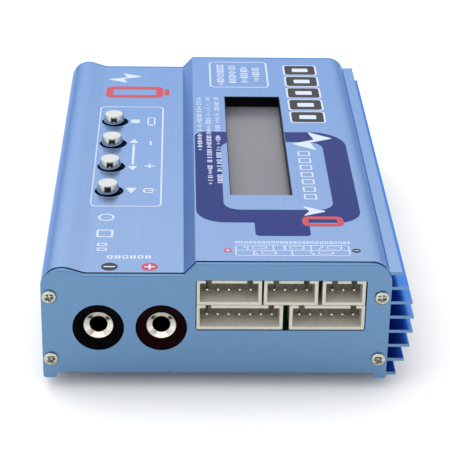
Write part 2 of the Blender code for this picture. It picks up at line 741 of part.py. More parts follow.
def make_buttons(shop):
    """Plated caps that press small switches on their own board under the lower deck."""
    base = BUTTON_TOP_Z  # each cap's origin is the middle of its top face, on its joint's axis
    cap = [
        (0.0, 0.0),
        (BUTTON_RADIUS - BUTTON_EDGE, 0.0),
        (BUTTON_RADIUS - 0.13 * MM, -0.13 * MM),
        (BUTTON_RADIUS, -BUTTON_EDGE),
        (BUTTON_RADIUS, COLLAR_TOP_Z - base),
        (COLLAR_RADIUS, COLLAR_TOP_Z - base),
        (COLLAR_RADIUS, COLLAR_BOTTOM_Z - base),
        (PLUNGER_RADIUS, COLLAR_BOTTOM_Z - base),
        (PLUNGER_RADIUS, PLUNGER_BOTTOM_Z - base),
        (0.0, PLUNGER_BOTTOM_Z - base),
    ]
    for name, y in button_spots():
        button = turned(f"button_{name}", cap, (BUTTON_X, y, base), (0, 0, 1), ROUND_STEPS)
        shop.place(button, "chrome")

        bottom = KEY_BOARD_Z + BOARD_THICKNESS + CONTACT_GAP
        switch = centred_box(
            f"switch_{name}",
            (BUTTON_X, y, (bottom + SWITCH_TOP_Z) / 2),
            (SWITCH_SIDE, SWITCH_SIDE, SWITCH_TOP_Z - bottom),
        )
        well = cylinder(
            f"switch_well_{name}",
            (BUTTON_X, y, SWITCH_WELL_Z),
            (BUTTON_X, y, SWITCH_TOP_Z + MM),
            SWITCH_WELL_RADIUS,
        )
        combine(switch, "DIFFERENCE", shop.hide(well))
        shop.place(switch, "black_plastic")

    middle_y = BUTTON_FIRST_Y + 1.5 * BUTTON_PITCH
    board = centred_box(
        "key_board",
        (BUTTON_X - 1.5 * MM, middle_y, KEY_BOARD_Z + BOARD_THICKNESS / 2),
        (KEY_BOARD_WIDTH + 3 * MM, KEY_BOARD_LENGTH, BOARD_THICKNESS),
    )
    shop.place(board, "green_board")
    strip = box(
        "key_pin_strip",
        (KEY_STRIP_X - PIN_STRIP_WIDTH / 2, KEY_STRIP_X + PIN_STRIP_WIDTH / 2),
        (middle_y - KEY_STRIP_LENGTH / 2, middle_y + KEY_STRIP_LENGTH / 2),
        (MAIN_BOARD_TOP_Z + CONTACT_GAP, KEY_BOARD_Z - CONTACT_GAP),
    )
    shop.place(strip, "black_plastic")


# ---------------------------------------------------------------- connectors
def make_output_sockets(shop):
    """Insulated sockets for 4 mm plugs, each a plastic body round a metal sleeve."""
    back = -SOCKET_DEPTH
    hole = CONTACT_RADIUS
    sleeve = CONTACT_RADIUS - CONTACT_GAP
    dish_floor, dish_rim = SOCKET_DISH_RADII
    body = [
        (hole, 0.0),
        (dish_floor, 0.0),
        (dish_rim, SOCKET_COLLAR_RISE),
        (SOCKET_COLLAR_RADIUS, SOCKET_COLLAR_RISE),
        (SOCKET_COLLAR_RADIUS, -SOCKET_FLANGE_SETBACK),
        (SOCKET_RADIUS, -SOCKET_FLANGE_SETBACK),
        (SOCKET_RADIUS, back),
        (hole, back),
    ]
    contact = [
        (0.0, -CONTACT_BORE_DEPTH),
        (CONTACT_BORE_RADIUS, -CONTACT_BORE_DEPTH),
        (CONTACT_BORE_RADIUS, -CONTACT_MOUTH_DEPTH),
        (CONTACT_MOUTH_RADIUS, -CONTACT_GAP),
        (sleeve, -CONTACT_GAP),
        (sleeve, back - 0.5 * MM),
        (CONTACT_TAIL_RADIUS, back - 0.5 * MM),
        (CONTACT_TAIL_RADIUS, back - CONTACT_TAIL_LENGTH),
        (0.0, back - CONTACT_TAIL_LENGTH),
    ]
    for pole, finish in (("negative", "black_plastic"), ("positive", "red_plastic")):
        spot = (SOCKET_XS[pole], SOCKET_FACE_Y, SOCKET_Z)
        socket = turned(f"output_socket_{pole}", body, spot, (0, -1, 0), FINE_STEPS, closed=True)
        shop.place(socket, finish)
        sleeve_obj = turned(f"output_contact_{pole}", contact, spot, (0, -1, 0), ROUND_STEPS)
        shop.place(sleeve_obj, "nickel")


def header_width(pins):
    return (pins - 1) * PIN_PITCH + 2 * HEADER_END


def make_header(shop, name, pins, left, bottom, face_y, inward):
    """A shrouded pin header. Its mouth is at face_y and its body runs inward, +1 or -1 in Y."""
    width = header_width(pins)
    right, top = left + width, bottom + HEADER_HEIGHT

    def along(start, end):
        return sorted((face_y + inward * start, face_y + inward * end))

    header = box(name, (left, right), along(0.0, HEADER_DEPTH), (bottom, top))
    cuts = make_collection(f"{name}_cuts", shop.cutters)
    cavity = box(
        f"{name}_cavity",
        (left + HEADER_WALL, right - HEADER_WALL),
        along(-MM, HEADER_CAVITY_DEPTH),
        (bottom + HEADER_WALL, top - HEADER_WALL),
    )
    shop.hide(cavity, cuts)
    for side in (-1, 1):
        end_pin = (left + right) / 2 + side * (pins - 1) / 2 * PIN_PITCH
        x = end_pin - side * HEADER_SLOT_SHIFT
        slot = box(
            f"{name}_slot_{'left' if side < 0 else 'right'}",
            (x - HEADER_SLOT_WIDTH / 2, x + HEADER_SLOT_WIDTH / 2),
            along(-MM, HEADER_CAVITY_DEPTH - 0.5 * MM),
            (top - 2 * HEADER_WALL, top + MM),
        )
        shop.hide(slot, cuts)
    combine(header, "DIFFERENCE", cuts)

    row = make_collection(f"{name}_pins", shop.cutters)
    for i in range(pins):
        x = left + HEADER_END + i * PIN_PITCH
        pin = box(
            f"{name}_pin_{i + 1}",
            (x - HEADER_PIN_SIDE / 2, x + HEADER_PIN_SIDE / 2),
            along(HEADER_PIN_TIP, HEADER_CAVITY_DEPTH + 0.6 * MM),
            (
                bottom + HEADER_PIN_RISE - HEADER_PIN_SIDE / 2,
                bottom + HEADER_PIN_RISE + HEADER_PIN_SIDE / 2,
            ),
        )
        shop.hide(pin, row)
    combine(header, "UNION", row)
    return shop.place(header, "white_nylon")


def make_balance_headers(shop):
    for cells, (pins, row, left) in HEADERS.items():
        name = f"balance_header_{cells}s"
        make_header(shop, name, pins, left, HEADER_ROW_Z[row], HEADER_FACE_Y, 1)
    back = HEADER_FACE_Y + HEADER_DEPTH + CONTACT_GAP
    board = box(
        "balance_board",
        BALANCE_BOARD_X,
        (back, back + BOARD_THICKNESS),
        (MAIN_BOARD_TOP_Z + CONTACT_GAP, BALANCE_BOARD_TOP_Z),
    )
    shop.place(board, "green_board")


def make_input_end(shop):
    """Round power inlet and the small header for a temperature probe."""
    mouth_y = PLATE_OUTER_Y - 0.2 * MM
    body_front = mouth_y - JACK_NOSE_LENGTH
    width, length, height = JACK_BODY
    bottom = MAIN_BOARD_TOP_Z + CONTACT_GAP
    jack = box(
        "dc_jack",
        (JACK_X - width / 2, JACK_X + width / 2),
        (body_front - length, body_front),
        (bottom, bottom + height),
    )
    nose = cylinder(
        "jack_nose",
        (JACK_X, body_front - MM, JACK_Z),
        (JACK_X, mouth_y, JACK_Z),
        JACK_NOSE_RADIUS,
        FINE_STEPS,
    )
    combine(jack, "UNION", shop.hide(nose))
    bore = turned(
        "jack_bore",
        [
            (0.0, MM),
            (JACK_BORE_RADIUS, MM),
            (JACK_BORE_RADIUS, -JACK_BORE_DEPTH),
            (JACK_PIN_RADIUS, -JACK_BORE_DEPTH),
            (JACK_PIN_RADIUS, -JACK_PIN_TIP),
            (0.0, -JACK_PIN_TIP),
        ],
        (JACK_X, mouth_y, JACK_Z),
        (0, 1, 0),
        ROUND_STEPS,
    )
    combine(jack, "DIFFERENCE", shop.hide(bore))
    shop.place(jack, "black_plastic")

    left = SENSOR_PORT_X - header_width(SENSOR_PORT_PINS) / 2
    make_header(shop, "sensor_port", SENSOR_PORT_PINS, left, bottom, mouth_y, -1)


# ---------------------------------------------------------------- main board
def board_screw_spots():
    return [(x, y) for y in BOARD_SCREW_YS for x in RAIL_XS]


def countersunk_profile(extra, overrun, length):
    """Outline of a countersunk screw whose head faces its axis, or of the hole for one."""
    head = BOARD_SCREW_HEAD_RADIUS + extra
    shank = BOARD_SCREW_RADIUS + extra
    return [
        (0.0, overrun),
        (head, overrun),
        (head, -extra),
        (shank, -BOARD_SCREW_HEAD_HEIGHT),
        (shank, -length),
        (0.0, -length),
    ]


def make_main_board(shop):
    """The main board, screwed to the rails from below."""
    board = box(
        "main_board",
        MAIN_BOARD_X,
        (-MAIN_BOARD_HALF_LENGTH, MAIN_BOARD_HALF_LENGTH),
        (MAIN_BOARD_Z, MAIN_BOARD_TOP_Z),
    )
    holes = make_collection("board_holes", shop.cutters)
    screw_top = MAIN_BOARD_TOP_Z - 0.3 * MM
    for i, (x, y) in enumerate(board_screw_spots()):
        hole = cylinder(
            f"board_hole_{i + 1}",
            (x, y, MAIN_BOARD_Z - MM),
            (x, y, MAIN_BOARD_TOP_Z + MM),
            BOARD_SCREW_RADIUS + 0.15 * MM,
            SMALL_STEPS,
        )
        shop.hide(hole, holes)
        screw = turned(
            f"board_screw_{i + 1}",
            countersunk_profile(0.0, -0.1 * MM, screw_top - BASE_UNDER_Z),
            (x, y, BASE_UNDER_Z),
            (0, 0, -1),
            SMALL_STEPS,
        )
        shop.place(screw, "nickel")
    combine(board, "DIFFERENCE", holes)
    return shop.place(board, "green_board")


def make_power_stage(shop):
    """Power transistors, clamped against the finned wall by a bar and two screws."""
    thick = TRANSISTOR_SIZE[0]
    transistor_x = HEAT_WALL_INNER_X - CONTACT_GAP - thick / 2
    for i, y in enumerate(TRANSISTOR_YS):
        transistor = centred_box(
            f"power_transistor_{i + 1}", (transistor_x, y, TRANSISTOR_Z), TRANSISTOR_SIZE
        )
        shop.place(transistor, "black_plastic")
    bar_right = transistor_x - thick / 2 - CONTACT_GAP
    bar_left = bar_right - CLAMP_BAR_SIZE[0]
    middle_y = sum(TRANSISTOR_YS) / len(TRANSISTOR_YS)
    bar = centred_box(
        "clamp_bar", ((bar_left + bar_right) / 2, middle_y, TRANSISTOR_Z), CLAMP_BAR_SIZE
    )
    holes = make_collection("clamp_holes", shop.cutters)
    head = CLAMP_HEAD_RADIUS
    end = HEAT_WALL_INNER_X + CLAMP_HOLE_DEPTH - 0.4 * MM - bar_left
    profile = [
        (0.0, CLAMP_HEAD_HEIGHT),
        (0.7 * head, 0.9 * CLAMP_HEAD_HEIGHT),
        (head, 0.4 * CLAMP_HEAD_HEIGHT),
        (head, CONTACT_GAP),
        (CLAMP_SCREW_RADIUS, CONTACT_GAP),
        (CLAMP_SCREW_RADIUS, -end),
        (0.0, -end),
    ]
    for i, y in enumerate(CLAMP_SCREW_YS):
        hole = cylinder(
            f"clamp_hole_{i + 1}",
            (bar_left - MM, y, TRANSISTOR_Z),
            (bar_right + MM, y, TRANSISTOR_Z),
            CLAMP_SCREW_RADIUS + 0.15 * MM,
            SMALL_STEPS,
        )
        shop.hide(hole, holes)
        screw = turned(
            f"clamp_screw_{i + 1}",
            profile,
            (bar_left, y, TRANSISTOR_Z),
            (-1, 0, 0),
            SMALL_STEPS,
        )
        shop.place(screw, "steel")
    combine(bar, "DIFFERENCE", holes)
    shop.place(bar, "can_aluminium")


def make_board_parts(shop):
    """Inductors, capacitors, controller, buzzer and the strip that carries the display."""
    floor = MAIN_BOARD_TOP_Z + CONTACT_GAP
    for i, (x, y) in enumerate(INDUCTOR_SPOTS):
        bpy.ops.mesh.primitive_torus_add(
            location=(x, y, floor + INDUCTOR_WIRE_RADIUS),
            major_radius=INDUCTOR_RADIUS,
            minor_radius=INDUCTOR_WIRE_RADIUS,
            major_segments=ROUND_STEPS,
            minor_segments=SMALL_STEPS,
        )
        bpy.context.object.name = f"inductor_{i + 1}"
        shop.place(bpy.context.object, "copper")
    for i, (x, y) in enumerate(CAPACITOR_SPOTS):
        can = cylinder(
            f"capacitor_{i + 1}",
            (x, y, floor),
            (x, y, floor + CAPACITOR_HEIGHT),
            CAPACITOR_RADIUS,
        )
        shop.place(can, "can_aluminium")
    controller = centred_box(
        "controller",
        (*CONTROLLER_SPOT, floor + CONTROLLER_HEIGHT / 2),
        (CONTROLLER_SIDE, CONTROLLER_SIDE, CONTROLLER_HEIGHT),
    )
    shop.place(controller, "black_plastic")
    x, y = BUZZER_SPOT
    buzzer = cylinder("buzzer", (x, y, floor), (x, y, floor + BUZZER_HEIGHT), BUZZER_RADIUS)
    shop.place(buzzer, "black_plastic")
    strip = box(
        "lcd_pin_strip",
        (LCD_STRIP_X - PIN_STRIP_WIDTH / 2, LCD_STRIP_X + PIN_STRIP_WIDTH / 2),
        (WINDOW_Y - LCD_STRIP_LENGTH / 2, WINDOW_Y + LCD_STRIP_LENGTH / 2),
        (floor, LCD_BOARD_Z - CONTACT_GAP),
    )
    shop.place(strip, "black_plastic")


def smooth_round_parts(collection):
    """Shades every part smooth except across its real edges."""
    for obj in collection.objects:
        obj.data.shade_smooth()
        obj.data.set_sharp_from_angle(angle=math.radians(35))


def main():
    clear_scene()
    shop = Workshop()
    make_top_cover(shop)
    make_base_tray(shop)
    make_end_plates(shop)
    make_plate_screws(shop)
    make_feet(shop)
    make_display(shop)
    make_buttons(shop)
    make_output_sockets(shop)
    make_balance_headers(shop)
    make_input_end(shop)
    make_main_board(shop)
    make_power_stage(shop)
    make_board_parts(shop)
    smooth_round_parts(shop.parts)


main()
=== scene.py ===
"""The finished look of a balance battery charger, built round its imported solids.

Lengths are in millimetres until a mesh is made. +X is the finned side, -Y the output end.
"""

import math
import random

import bmesh
import bpy
from mathutils import Matrix, Vector


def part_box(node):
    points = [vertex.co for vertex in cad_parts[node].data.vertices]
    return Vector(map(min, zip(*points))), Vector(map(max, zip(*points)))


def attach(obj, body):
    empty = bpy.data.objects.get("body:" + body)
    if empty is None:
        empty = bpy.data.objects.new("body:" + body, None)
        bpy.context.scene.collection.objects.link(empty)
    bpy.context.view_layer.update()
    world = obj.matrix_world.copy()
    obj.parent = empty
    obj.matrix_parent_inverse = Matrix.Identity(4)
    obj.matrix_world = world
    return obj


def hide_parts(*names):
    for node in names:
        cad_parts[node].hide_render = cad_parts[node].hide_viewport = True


MM = 0.001
WELD = 1e-7  # metres, far below any real gap

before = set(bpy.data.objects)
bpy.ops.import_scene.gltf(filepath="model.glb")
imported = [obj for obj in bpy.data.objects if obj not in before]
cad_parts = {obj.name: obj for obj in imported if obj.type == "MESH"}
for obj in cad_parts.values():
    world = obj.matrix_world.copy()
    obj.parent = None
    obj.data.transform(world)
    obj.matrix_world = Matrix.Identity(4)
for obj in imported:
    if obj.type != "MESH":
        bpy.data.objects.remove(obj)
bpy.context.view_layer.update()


def box_mm(node):
    """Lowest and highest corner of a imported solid, in millimetres."""
    low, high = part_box(node)
    return low / MM, high / MM


def middle(node):
    """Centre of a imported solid, in millimetres."""
    low, high = box_mm(node)
    return (low + high) / 2


COVER_LOW, COVER_HIGH = box_mm("top_cover")
TRAY_LOW, TRAY_HIGH = box_mm("base_tray")
FRONT_LOW, FRONT_HIGH = box_mm("front_plate")
REAR_LOW, REAR_HIGH = box_mm("rear_plate")

# Case section
UPPER_DECK_Z = COVER_HIGH.z - 0.04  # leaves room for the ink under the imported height
DECK_STEP = 3.1
LOWER_DECK_Z = COVER_HIGH.z - DECK_STEP
LEFT_X = TRAY_LOW.x
RIGHT_X = 37.4
SLOPE_TOP_X = -7.6
SLOPE_FOOT_X = -10.4
CORNER_RADIUS = 5.0
HUMP_X = -38.0
HUMP_RADIUS = HUMP_X - LEFT_X
HUMP_Z = LOWER_DECK_Z - 3.6
HUMP_SLOPE = 18.0
DIP_RADIUS = 3.0
COVER_WALL = 1.5
CREASE_RADIUS = 0.35
LIP_WIDTH = 1.2
LIP_HEIGHT = 2.2

RUNNER_Z = TRAY_LOW.z
RUNNER_HEIGHT = 1.4
RUNNER_WIDTH = 2.8
RUNNER_SPLAY = 0.6
RUNNER_ROUND = 0.7
BASE_Z = RUNNER_Z + RUNNER_HEIGHT
FLOOR_Z = BASE_Z + 2.0
LEFT_SEAM_Z = 11.2
SEAM_GAP = 0.3
WALL_INNER_X = -40.2
TONGUE_WIDTH = 1.0
TONGUE_HEIGHT = 1.8
HEAT_OUTER_X = 36.9
HEAT_INNER_X = 33.4
RAIL_HEIGHT = 1.5
RAIL_WIDTH = 5.0
RAIL_XS = (-30.0, 24.0)
EDGE_ROUND = 0.3
INNER_ROUND = 0.5

FIN_COUNT = 8
FIN_PITCH = 3.79
FIN_THICKNESS = 0.85
FIN_FIRST_Z = RUNNER_Z + 0.6
FIN_ARC_RADIUS = 28.0
FIN_TIP_ROUND = 0.22
FIN_ROOT_ROUND = 0.3
HEAT_TOP_Z = FIN_FIRST_Z + (FIN_COUNT - 1) * FIN_PITCH + FIN_THICKNESS / 2

GROOVE_COUNT = 6
GROOVE_PITCH = 1.4
GROOVE_DEPTH = 0.25
GROOVE_FIRST_Z = 15.6
GROOVE_ROUND = 0.12

PLATE_INSET = 0.15
PLATE_EDGE = 0.16
SHELL_EDGE = 0.1
HOLE_CHAMFER = 0.12

# Openings in the case
CUT_DEPTH = 3.0  # of a cutter, past the inner face of the cover
WINDOW_X = (1.2, 16.4)
WINDOW_Y = (-29.3, 34.5)
BUTTONS = ("start", "increase", "decrease", "stop")
BUTTON_HOLE_SHIFT = 0.3
BUTTON_HOLE_RADIUS = 3.55
SOCKET_HOLE_RADIUS = 5.9
HEADER_WINDOW_X = (-7.5, 31.6)
HEADER_WINDOW_Z = (15.6, 28.6)
SCREW_HOLE_RADIUS = 1.1
PORT_RADIUS = 0.85
BOSS_RADIUS = 1.9
JACK_HOLE_RADIUS = 4.2
SENSOR_MARGIN = 0.15
JACK_RISE = 6.4  # of the inlet's axis over the foot of the probe port

INK_THICKNESS = 0.018
PIN_SIDE = 0.64  # square header pins
BOARD_TOP_Z = box_mm("main_board")[1].z

# Camera, its angles in degrees
CAMERA_PLACE = (-11.9, -401.25, 210.6)
CAMERA_PITCH = 26.55
CAMERA_YAW = 1.83
CAMERA_ROLL = 1.07
CAMERA_LENS = 134.5


# ---------------------------------------------------------------- materials
def linear(hex_colour):
    """An sRGB hex colour as linear red, green, blue and alpha."""
    channels = [int(hex_colour[i : i + 2], 16) / 255 for i in (1, 3, 5)]
    return [c / 12.92 if c <= 0.04045 else ((c + 0.055) / 1.055) ** 2.4 for c in channels] + [1.0]


def add(tree, kind, inputs=None, **settings):
    """Adds a shader node. An input is a value, or a (node, output) pair to link from."""
    node = tree.nodes.new("ShaderNode" + kind)
    for name, value in settings.items():
        setattr(node, name, value)
    for name, value in (inputs or {}).items():
        if isinstance(value, tuple) and isinstance(value[0], bpy.types.Node):
            tree.links.new(value[0].outputs[value[1]], node.inputs[name])
        else:
            node.inputs[name].default_value = value
    return node


def lay_finish(name, colours, roughness, drift_mm, grain_mm, depth_mm, **sockets):
    """A surface that drifts between two colours and two roughnesses over a fine relief.

    The drift and the grain have a size in millimetres along X, Y and Z.
    """
    material = bpy.data.materials.new(name)
    material.use_nodes = True
    material.diffuse_color = linear(colours[0])
    tree = material.node_tree
    shader = tree.nodes["Principled BSDF"]
    for socket, value in sockets.items():
        shader.inputs[socket.replace("_", " ")].default_value = value

    place = add(tree, "TexCoord")
    across = [1 / (MM * size) for size in drift_mm]
    broad = add(tree, "Mapping", {"Vector": (place, "Object"), "Scale": across})
    drift = add(tree, "TexNoise", {"Vector": (broad, "Vector"), "Detail": 2.0})
    share = add(tree, "MapRange", {"Value": (drift, "Fac"), "From Min": 0.3, "From Max": 0.7})
    first, second = [linear(colour) for colour in colours]
    tint = add(tree, "Mix", {0: (share, "Result"), 6: first, 7: second}, data_type="RGBA")
    rough = add(
        tree,
        "MapRange",
        {"Value": (share, "Result"), "To Min": roughness[0], "To Max": roughness[1]},
    )

    across = [1 / (MM * size) for size in grain_mm]
    fine = add(tree, "Mapping", {"Vector": (place, "Object"), "Scale": across})
    grain = add(tree, "TexNoise", {"Vector": (fine, "Vector"), "Detail": 2.0})
    relief = add(
        tree, "Bump", {"Height": (grain, "Fac"), "Distance": depth_mm * MM, "Strength": 0.5}
    )
    tree.links.new(tint.outputs[2], shader.inputs["Base Color"])
    tree.links.new(rough.outputs["Result"], shader.inputs["Roughness"])
    tree.links.new(relief.outputs["Normal"], shader.inputs["Normal"])
    return material


def plastic(name, colours, roughness, **sockets):
    """Injection-moulded plastic: nearly even colour, flow marks, a fine mould texture."""
    return lay_finish(
        name, colours, roughness, (4.0, 9.0, 4.0), (0.25,) * 3, 0.01, IOR=1.5, **sockets
    )


def plated(name, colours, roughness, hairline_mm=(0.08, 1.6, 0.5)):
    """Electroplated metal: bright, faintly smudged, with hairline scratches."""
    return lay_finish(
        name, colours, roughness, (1.3,) * 3, hairline_mm, 0.004, Metallic=1.0
    )


def ink(name, colours):
    """Screen-printed ink: a thin satin film, uneven where the mesh let less through."""
    return lay_finish(
        name,
        colours,
        (0.42, 0.58),
        (0.35,) * 3,
        (0.35,) * 3,
        0.004,
        IOR=1.45,
        Specular_IOR_Level=0.12,
    )


BLUE_EDGE = linear("#A9C6F5")  # dyed oxide keeps its colour at a glancing angle
ETCH = (0.16,) * 3  # the real etch is finer: as coarse as it needs to be to show
MATERIALS = {
    # Extruded aluminium, etched and dyed: satin sheen, faint die lines along its length
    "extrusion": lay_finish(
        "anodised_extrusion", ("#8A9DBB", "#879AB9"), (0.23, 0.27), (1.2, 120.0, 1.2), ETCH,
        0.01, Metallic=1.0, Specular_Tint=BLUE_EDGE,
    ),
    # Between the fins a darker, bluer copy of the same anodised finish: painted shade, where little
    # light reaches
    "shaded_fin_gap": lay_finish(
        "anodised_shaded_fin_gap", ("#5880C4", "#4370B5"), (0.23, 0.27), (1.2, 120.0, 1.2), ETCH,
        0.01, Metallic=1.0, Specular_Tint=BLUE_EDGE,
    ),
    # Rolled aluminium sheet, etched and dyed: an even satin, greener than the extrusions
    "plate": lay_finish(
        "anodised_plate", ("#6587AB", "#6688AC"), (0.26, 0.32), (24.0,) * 3, ETCH,
        0.012, Metallic=1.0, Specular_Tint=BLUE_EDGE,
    ),
    # Chrome on moulded caps: nearly a mirror
    "chrome": plated("chrome_plate", ("#B9BBBC", "#B0B2B3"), (0.04, 0.07)),
    # Nickel on the inlet's pin: warm, with soft reflections
    "nickel": plated("nickel_plate", ("#D9D5CB", "#BEB9AC"), (0.14, 0.26)),
    # Nickel on steel screws: a faint yellow cast and a slightly blurred shine
    "screw": plated("nickel_plated_screw", ("#C6C7BC", "#A9AA9C"), (0.12, 0.22)),
    # Nickel on turned brass: smooth and bright
    "contact": plated("nickel_plated_contact", ("#DEDAD1", "#CDC8BD"), (0.08, 0.14)),
    # Painted shade in the bore: dark, dull brass with hardly a reflection
    "bore_shade": plated("bore_shade_brass", ("#1A1714", "#100D09"), (0.45, 0.6)),
    # Dipped tin: pale and soft
    "tin": plated("tinned_pin", ("#E6E4DE", "#CFCBC1"), (0.2, 0.32)),
    # Drawn aluminium can: bright, with fine drawing lines
    "can": plated("drawn_aluminium", ("#D4D5D6", "#C4C5C7"), (0.22, 0.34), (2.0, 2.0, 0.06)),
    # Zinc on steel: greyer and duller than nickel
    "steel": plated("zinc_plated_steel", ("#B9B7AE", "#A29F93"), (0.26, 0.42)),
    # Milled bar, left as cut: short parallel tool marks
    "bar": lay_finish(
        "milled_aluminium", ("#BFC1C4", "#B1B3B7"), (0.3, 0.45), (6.0, 2.0, 2.0),
        (0.5, 0.12, 0.5), 0.01, Metallic=1.0,
    ),
    # Glass-filled black plastic: an even, low sheen
    "black": plastic("black_moulding", ("#101012", "#17171A"), (0.3, 0.42)),
    # Socket bodies, one black and one a very dark red: their faces hardly reflect
    "socket_black": plastic(
        "black_nylon", ("#010102", "#020203"), (0.3, 0.4), Specular_IOR_Level=0.02
    ),
    "socket_red": plastic(
        "dark_red_nylon", ("#0F0103", "#160205"), (0.3, 0.4), Specular_IOR_Level=0.02
    ),
    # Unfilled nylon lets a little light in, so its thin walls glow slightly
    "nylon": plastic(
        "natural_nylon", ("#C9C7BC", "#C2BFB3"), (0.36, 0.46),
        Subsurface_Weight=0.15, Subsurface_Scale=0.0005,
    ),
    # The same nylon at the bottom of a deep recess, which little light reaches
    "nylon_deep": plastic("shaded_nylon", ("#8B887A", "#858274"), (0.4, 0.5)),
    # Matt black surround: keeps the edge of the display dark
    "bezel": plastic(
        "bezel_black", ("#020203", "#040405"), (0.4, 0.5), Specular_IOR_Level=0.1
    ),
    # Pale acrylic that spreads the light behind the display: glossy
    "backlight": plastic("light_guide", ("#E8E8E2", "#DEDED8"), (0.22, 0.3)),
    # Moulded rubber: dull, with a coarse matt grain
    "rubber": lay_finish(
        "foot_rubber", ("#19191A", "#222223"), (0.7, 0.9), (3.0,) * 3, (0.35,) * 3, 0.03
    ),
    # Filled epoxy: dark grey with a sandblasted mould face
    "epoxy": lay_finish(
        "black_epoxy", ("#18181A", "#202023"), (0.5, 0.62), (1.5,) * 3, (0.12,) * 3, 0.015
    ),
    # Solder mask over glass cloth with a 0.5 mm weave
    "board": lay_finish(
        "solder_mask", ("#194B2B", "#27693F"), (0.3, 0.45), (1.2, 3.5, 1.2), (0.5,) * 3, 0.02
    ),
    # Heat-shrunk sleeve: glossy dark blue film
    "sleeve": plastic("shrink_sleeve", ("#15244E", "#192A58"), (0.2, 0.28)),
    # Copper wire under clear enamel
    "copper": plated("enamelled_copper", ("#B4632C", "#9C5122"), (0.18, 0.28)),
    # Iron powder core with a matt painted coat
    "core": lay_finish(
        "painted_powder_core", ("#8F8A2A", "#857F22"), (0.5, 0.65), (2.0,) * 3, (0.2,) * 3, 0.02
    ),
    # Unlit display cell behind its polariser: flat grey, a clear gloss, a little dust
    "glass": lay_finish(
        "display_glass", ("#62636B", "#6A6B74"), (0.26, 0.34), (30.0, 60.0, 30.0),
        (8.0,) * 3, 0.0003, IOR=1.5, Specular_IOR_Level=0.35,
    ),
    # Inks, each tinted a little by the blue surface under it
    "white_ink": ink("white_ink", ("#C4CEE4", "#B8C3DB")),
    "blue_ink": ink("dark_blue_ink", ("#1C2C6F", "#1A2969")),
    "red_ink": ink("red_ink", ("#B84A57", "#AF4450")),
    "grey_ink": ink("dark_grey_ink", ("#343437", "#2F2F32")),
}


# ---------------------------------------------------------------- outlines
def arc(x, y, radius, start, end, steps=24):
    """Points along an arc, in degrees, both ends included."""
    angles = [math.radians(start + (end - start) * i / steps) for i in range(steps + 1)]
    return [(x + radius * math.cos(a), y + radius * math.sin(a)) for a in angles]


def circle(x, y, radius, steps=64):
    """Outline of a circle centred on (x, y)."""
    return arc(x, y, radius, 0, 360, steps)[:-1]


def rounded(corners, steps=4):
    """A closed outline from (x, y) or (x, y, radius) corners."""
    points = []
    count = len(corners)
    for i, corner in enumerate(corners):
        here = Vector(corner[:2])
        radius = corner[2] if len(corner) > 2 else 0.0
        before = Vector(corners[i - 1][:2]) - here
        after = Vector(corners[(i + 1) % count][:2]) - here
        if radius <= 0 or before.length < 1e-6 or after.length < 1e-6:
            points.append(tuple(here))
            continue
        half = before.angle(after) / 2
        if half > math.radians(89):
            points.append(tuple(here))
            continue
        reach = min(radius / math.tan(half), 0.49 * before.length, 0.49 * after.length)
        radius = reach * math.tan(half)
        first = here + before.normalized() * reach
        last = here + after.normalized() * reach
        centre = here + (before.normalized() + after.normalized()).normalized() * (
            radius / math.sin(half)
        )
        swing = (first - centre).angle_signed(last - centre)
        for step in range(steps + 1):
            turn = Matrix.Rotation(-swing * step / steps, 2)
            points.append(tuple(centre + turn @ (first - centre)))
    return points


def block(x_range, y_range, radius=0.0, steps=4):
    """Outline of a rectangle, its corners rounded where the radius is above 0."""
    (x0, x1), (y0, y1) = x_range, y_range
    return rounded([(x, y, radius) for x, y in ((x0, y0), (x1, y0), (x1, y1), (x0, y1))], steps)


def ring(x_range, y_range, radius, stroke, steps=6):
    """A rounded frame, as its outer and inner outlines."""
    inner_x = (x_range[0] + stroke, x_range[1] - stroke)
    inner_y = (y_range[0] + stroke, y_range[1] - stroke)
    return [
        block(x_range, y_range, radius, steps),
        block(inner_x, inner_y, max(radius - stroke, 0.0), steps),
    ]


def hoop(x, y, radius, stroke, steps=32):
    """A round frame, as its outer and inner outlines."""
    return [circle(x, y, radius, steps), circle(x, y, radius - stroke, steps)]


# ---------------------------------------------------------------- solids
def new_piece(name, mesh):
    obj = bpy.data.objects.new(name, mesh)
    bpy.context.scene.collection.objects.link(obj)
    return obj


def finish_piece(obj, material, body="case", stands_for=()):
    """Gives a piece its material and its body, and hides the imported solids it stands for."""
    obj.data.materials.clear()
    obj.data.materials.append(MATERIALS[material])
    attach(obj, body)
    if stands_for:
        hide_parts(*stands_for)
    return obj


def evaluated_mesh(obj, name):
    """An object's mesh as its curve settings and modifiers make it."""
    bpy.context.view_layer.update()
    graph = bpy.context.evaluated_depsgraph_get()
    mesh = bpy.data.meshes.new_from_object(obj.evaluated_get(graph))
    mesh.name = name
    return mesh


def baked(obj):
    """Applies an object's modifiers to its mesh."""
    mesh = evaluated_mesh(obj, obj.name)
    obj.modifiers.clear()
    obj.data = mesh
    return obj


def piece_from(shape, name):
    """Makes an object from a finished bmesh."""
    mesh = bpy.data.meshes.new(name)
    shape.to_mesh(mesh)
    shape.free()
    return new_piece(name, mesh)


def face_outwards(shape):
    """Points the faces out. It is surest while the shape still lies round its own origin."""
    bmesh.ops.recalc_face_normals(shape, faces=shape.faces)


def loft(shape, sections):
    """Joins sections with the same number of points into one closed skin."""
    rings = [[shape.verts.new(point) for point in section] for section in sections]
    shape.faces.new(rings[0])
    shape.faces.new(rings[-1][::-1])
    for near, far in zip(rings, rings[1:]):
        for a in range(len(near)):
            b = (a + 1) % len(near)
            shape.faces.new((near[a], far[a], far[b], near[b]))
    face_outwards(shape)


def stand_on(place, axis):
    """The move from the origin and +Z, in metres, to a place and an axis in millimetres."""
    turn = Vector(axis).to_track_quat("Z", "Y").to_matrix().to_4x4()
    return Matrix.Translation(Vector(place) * MM) @ turn


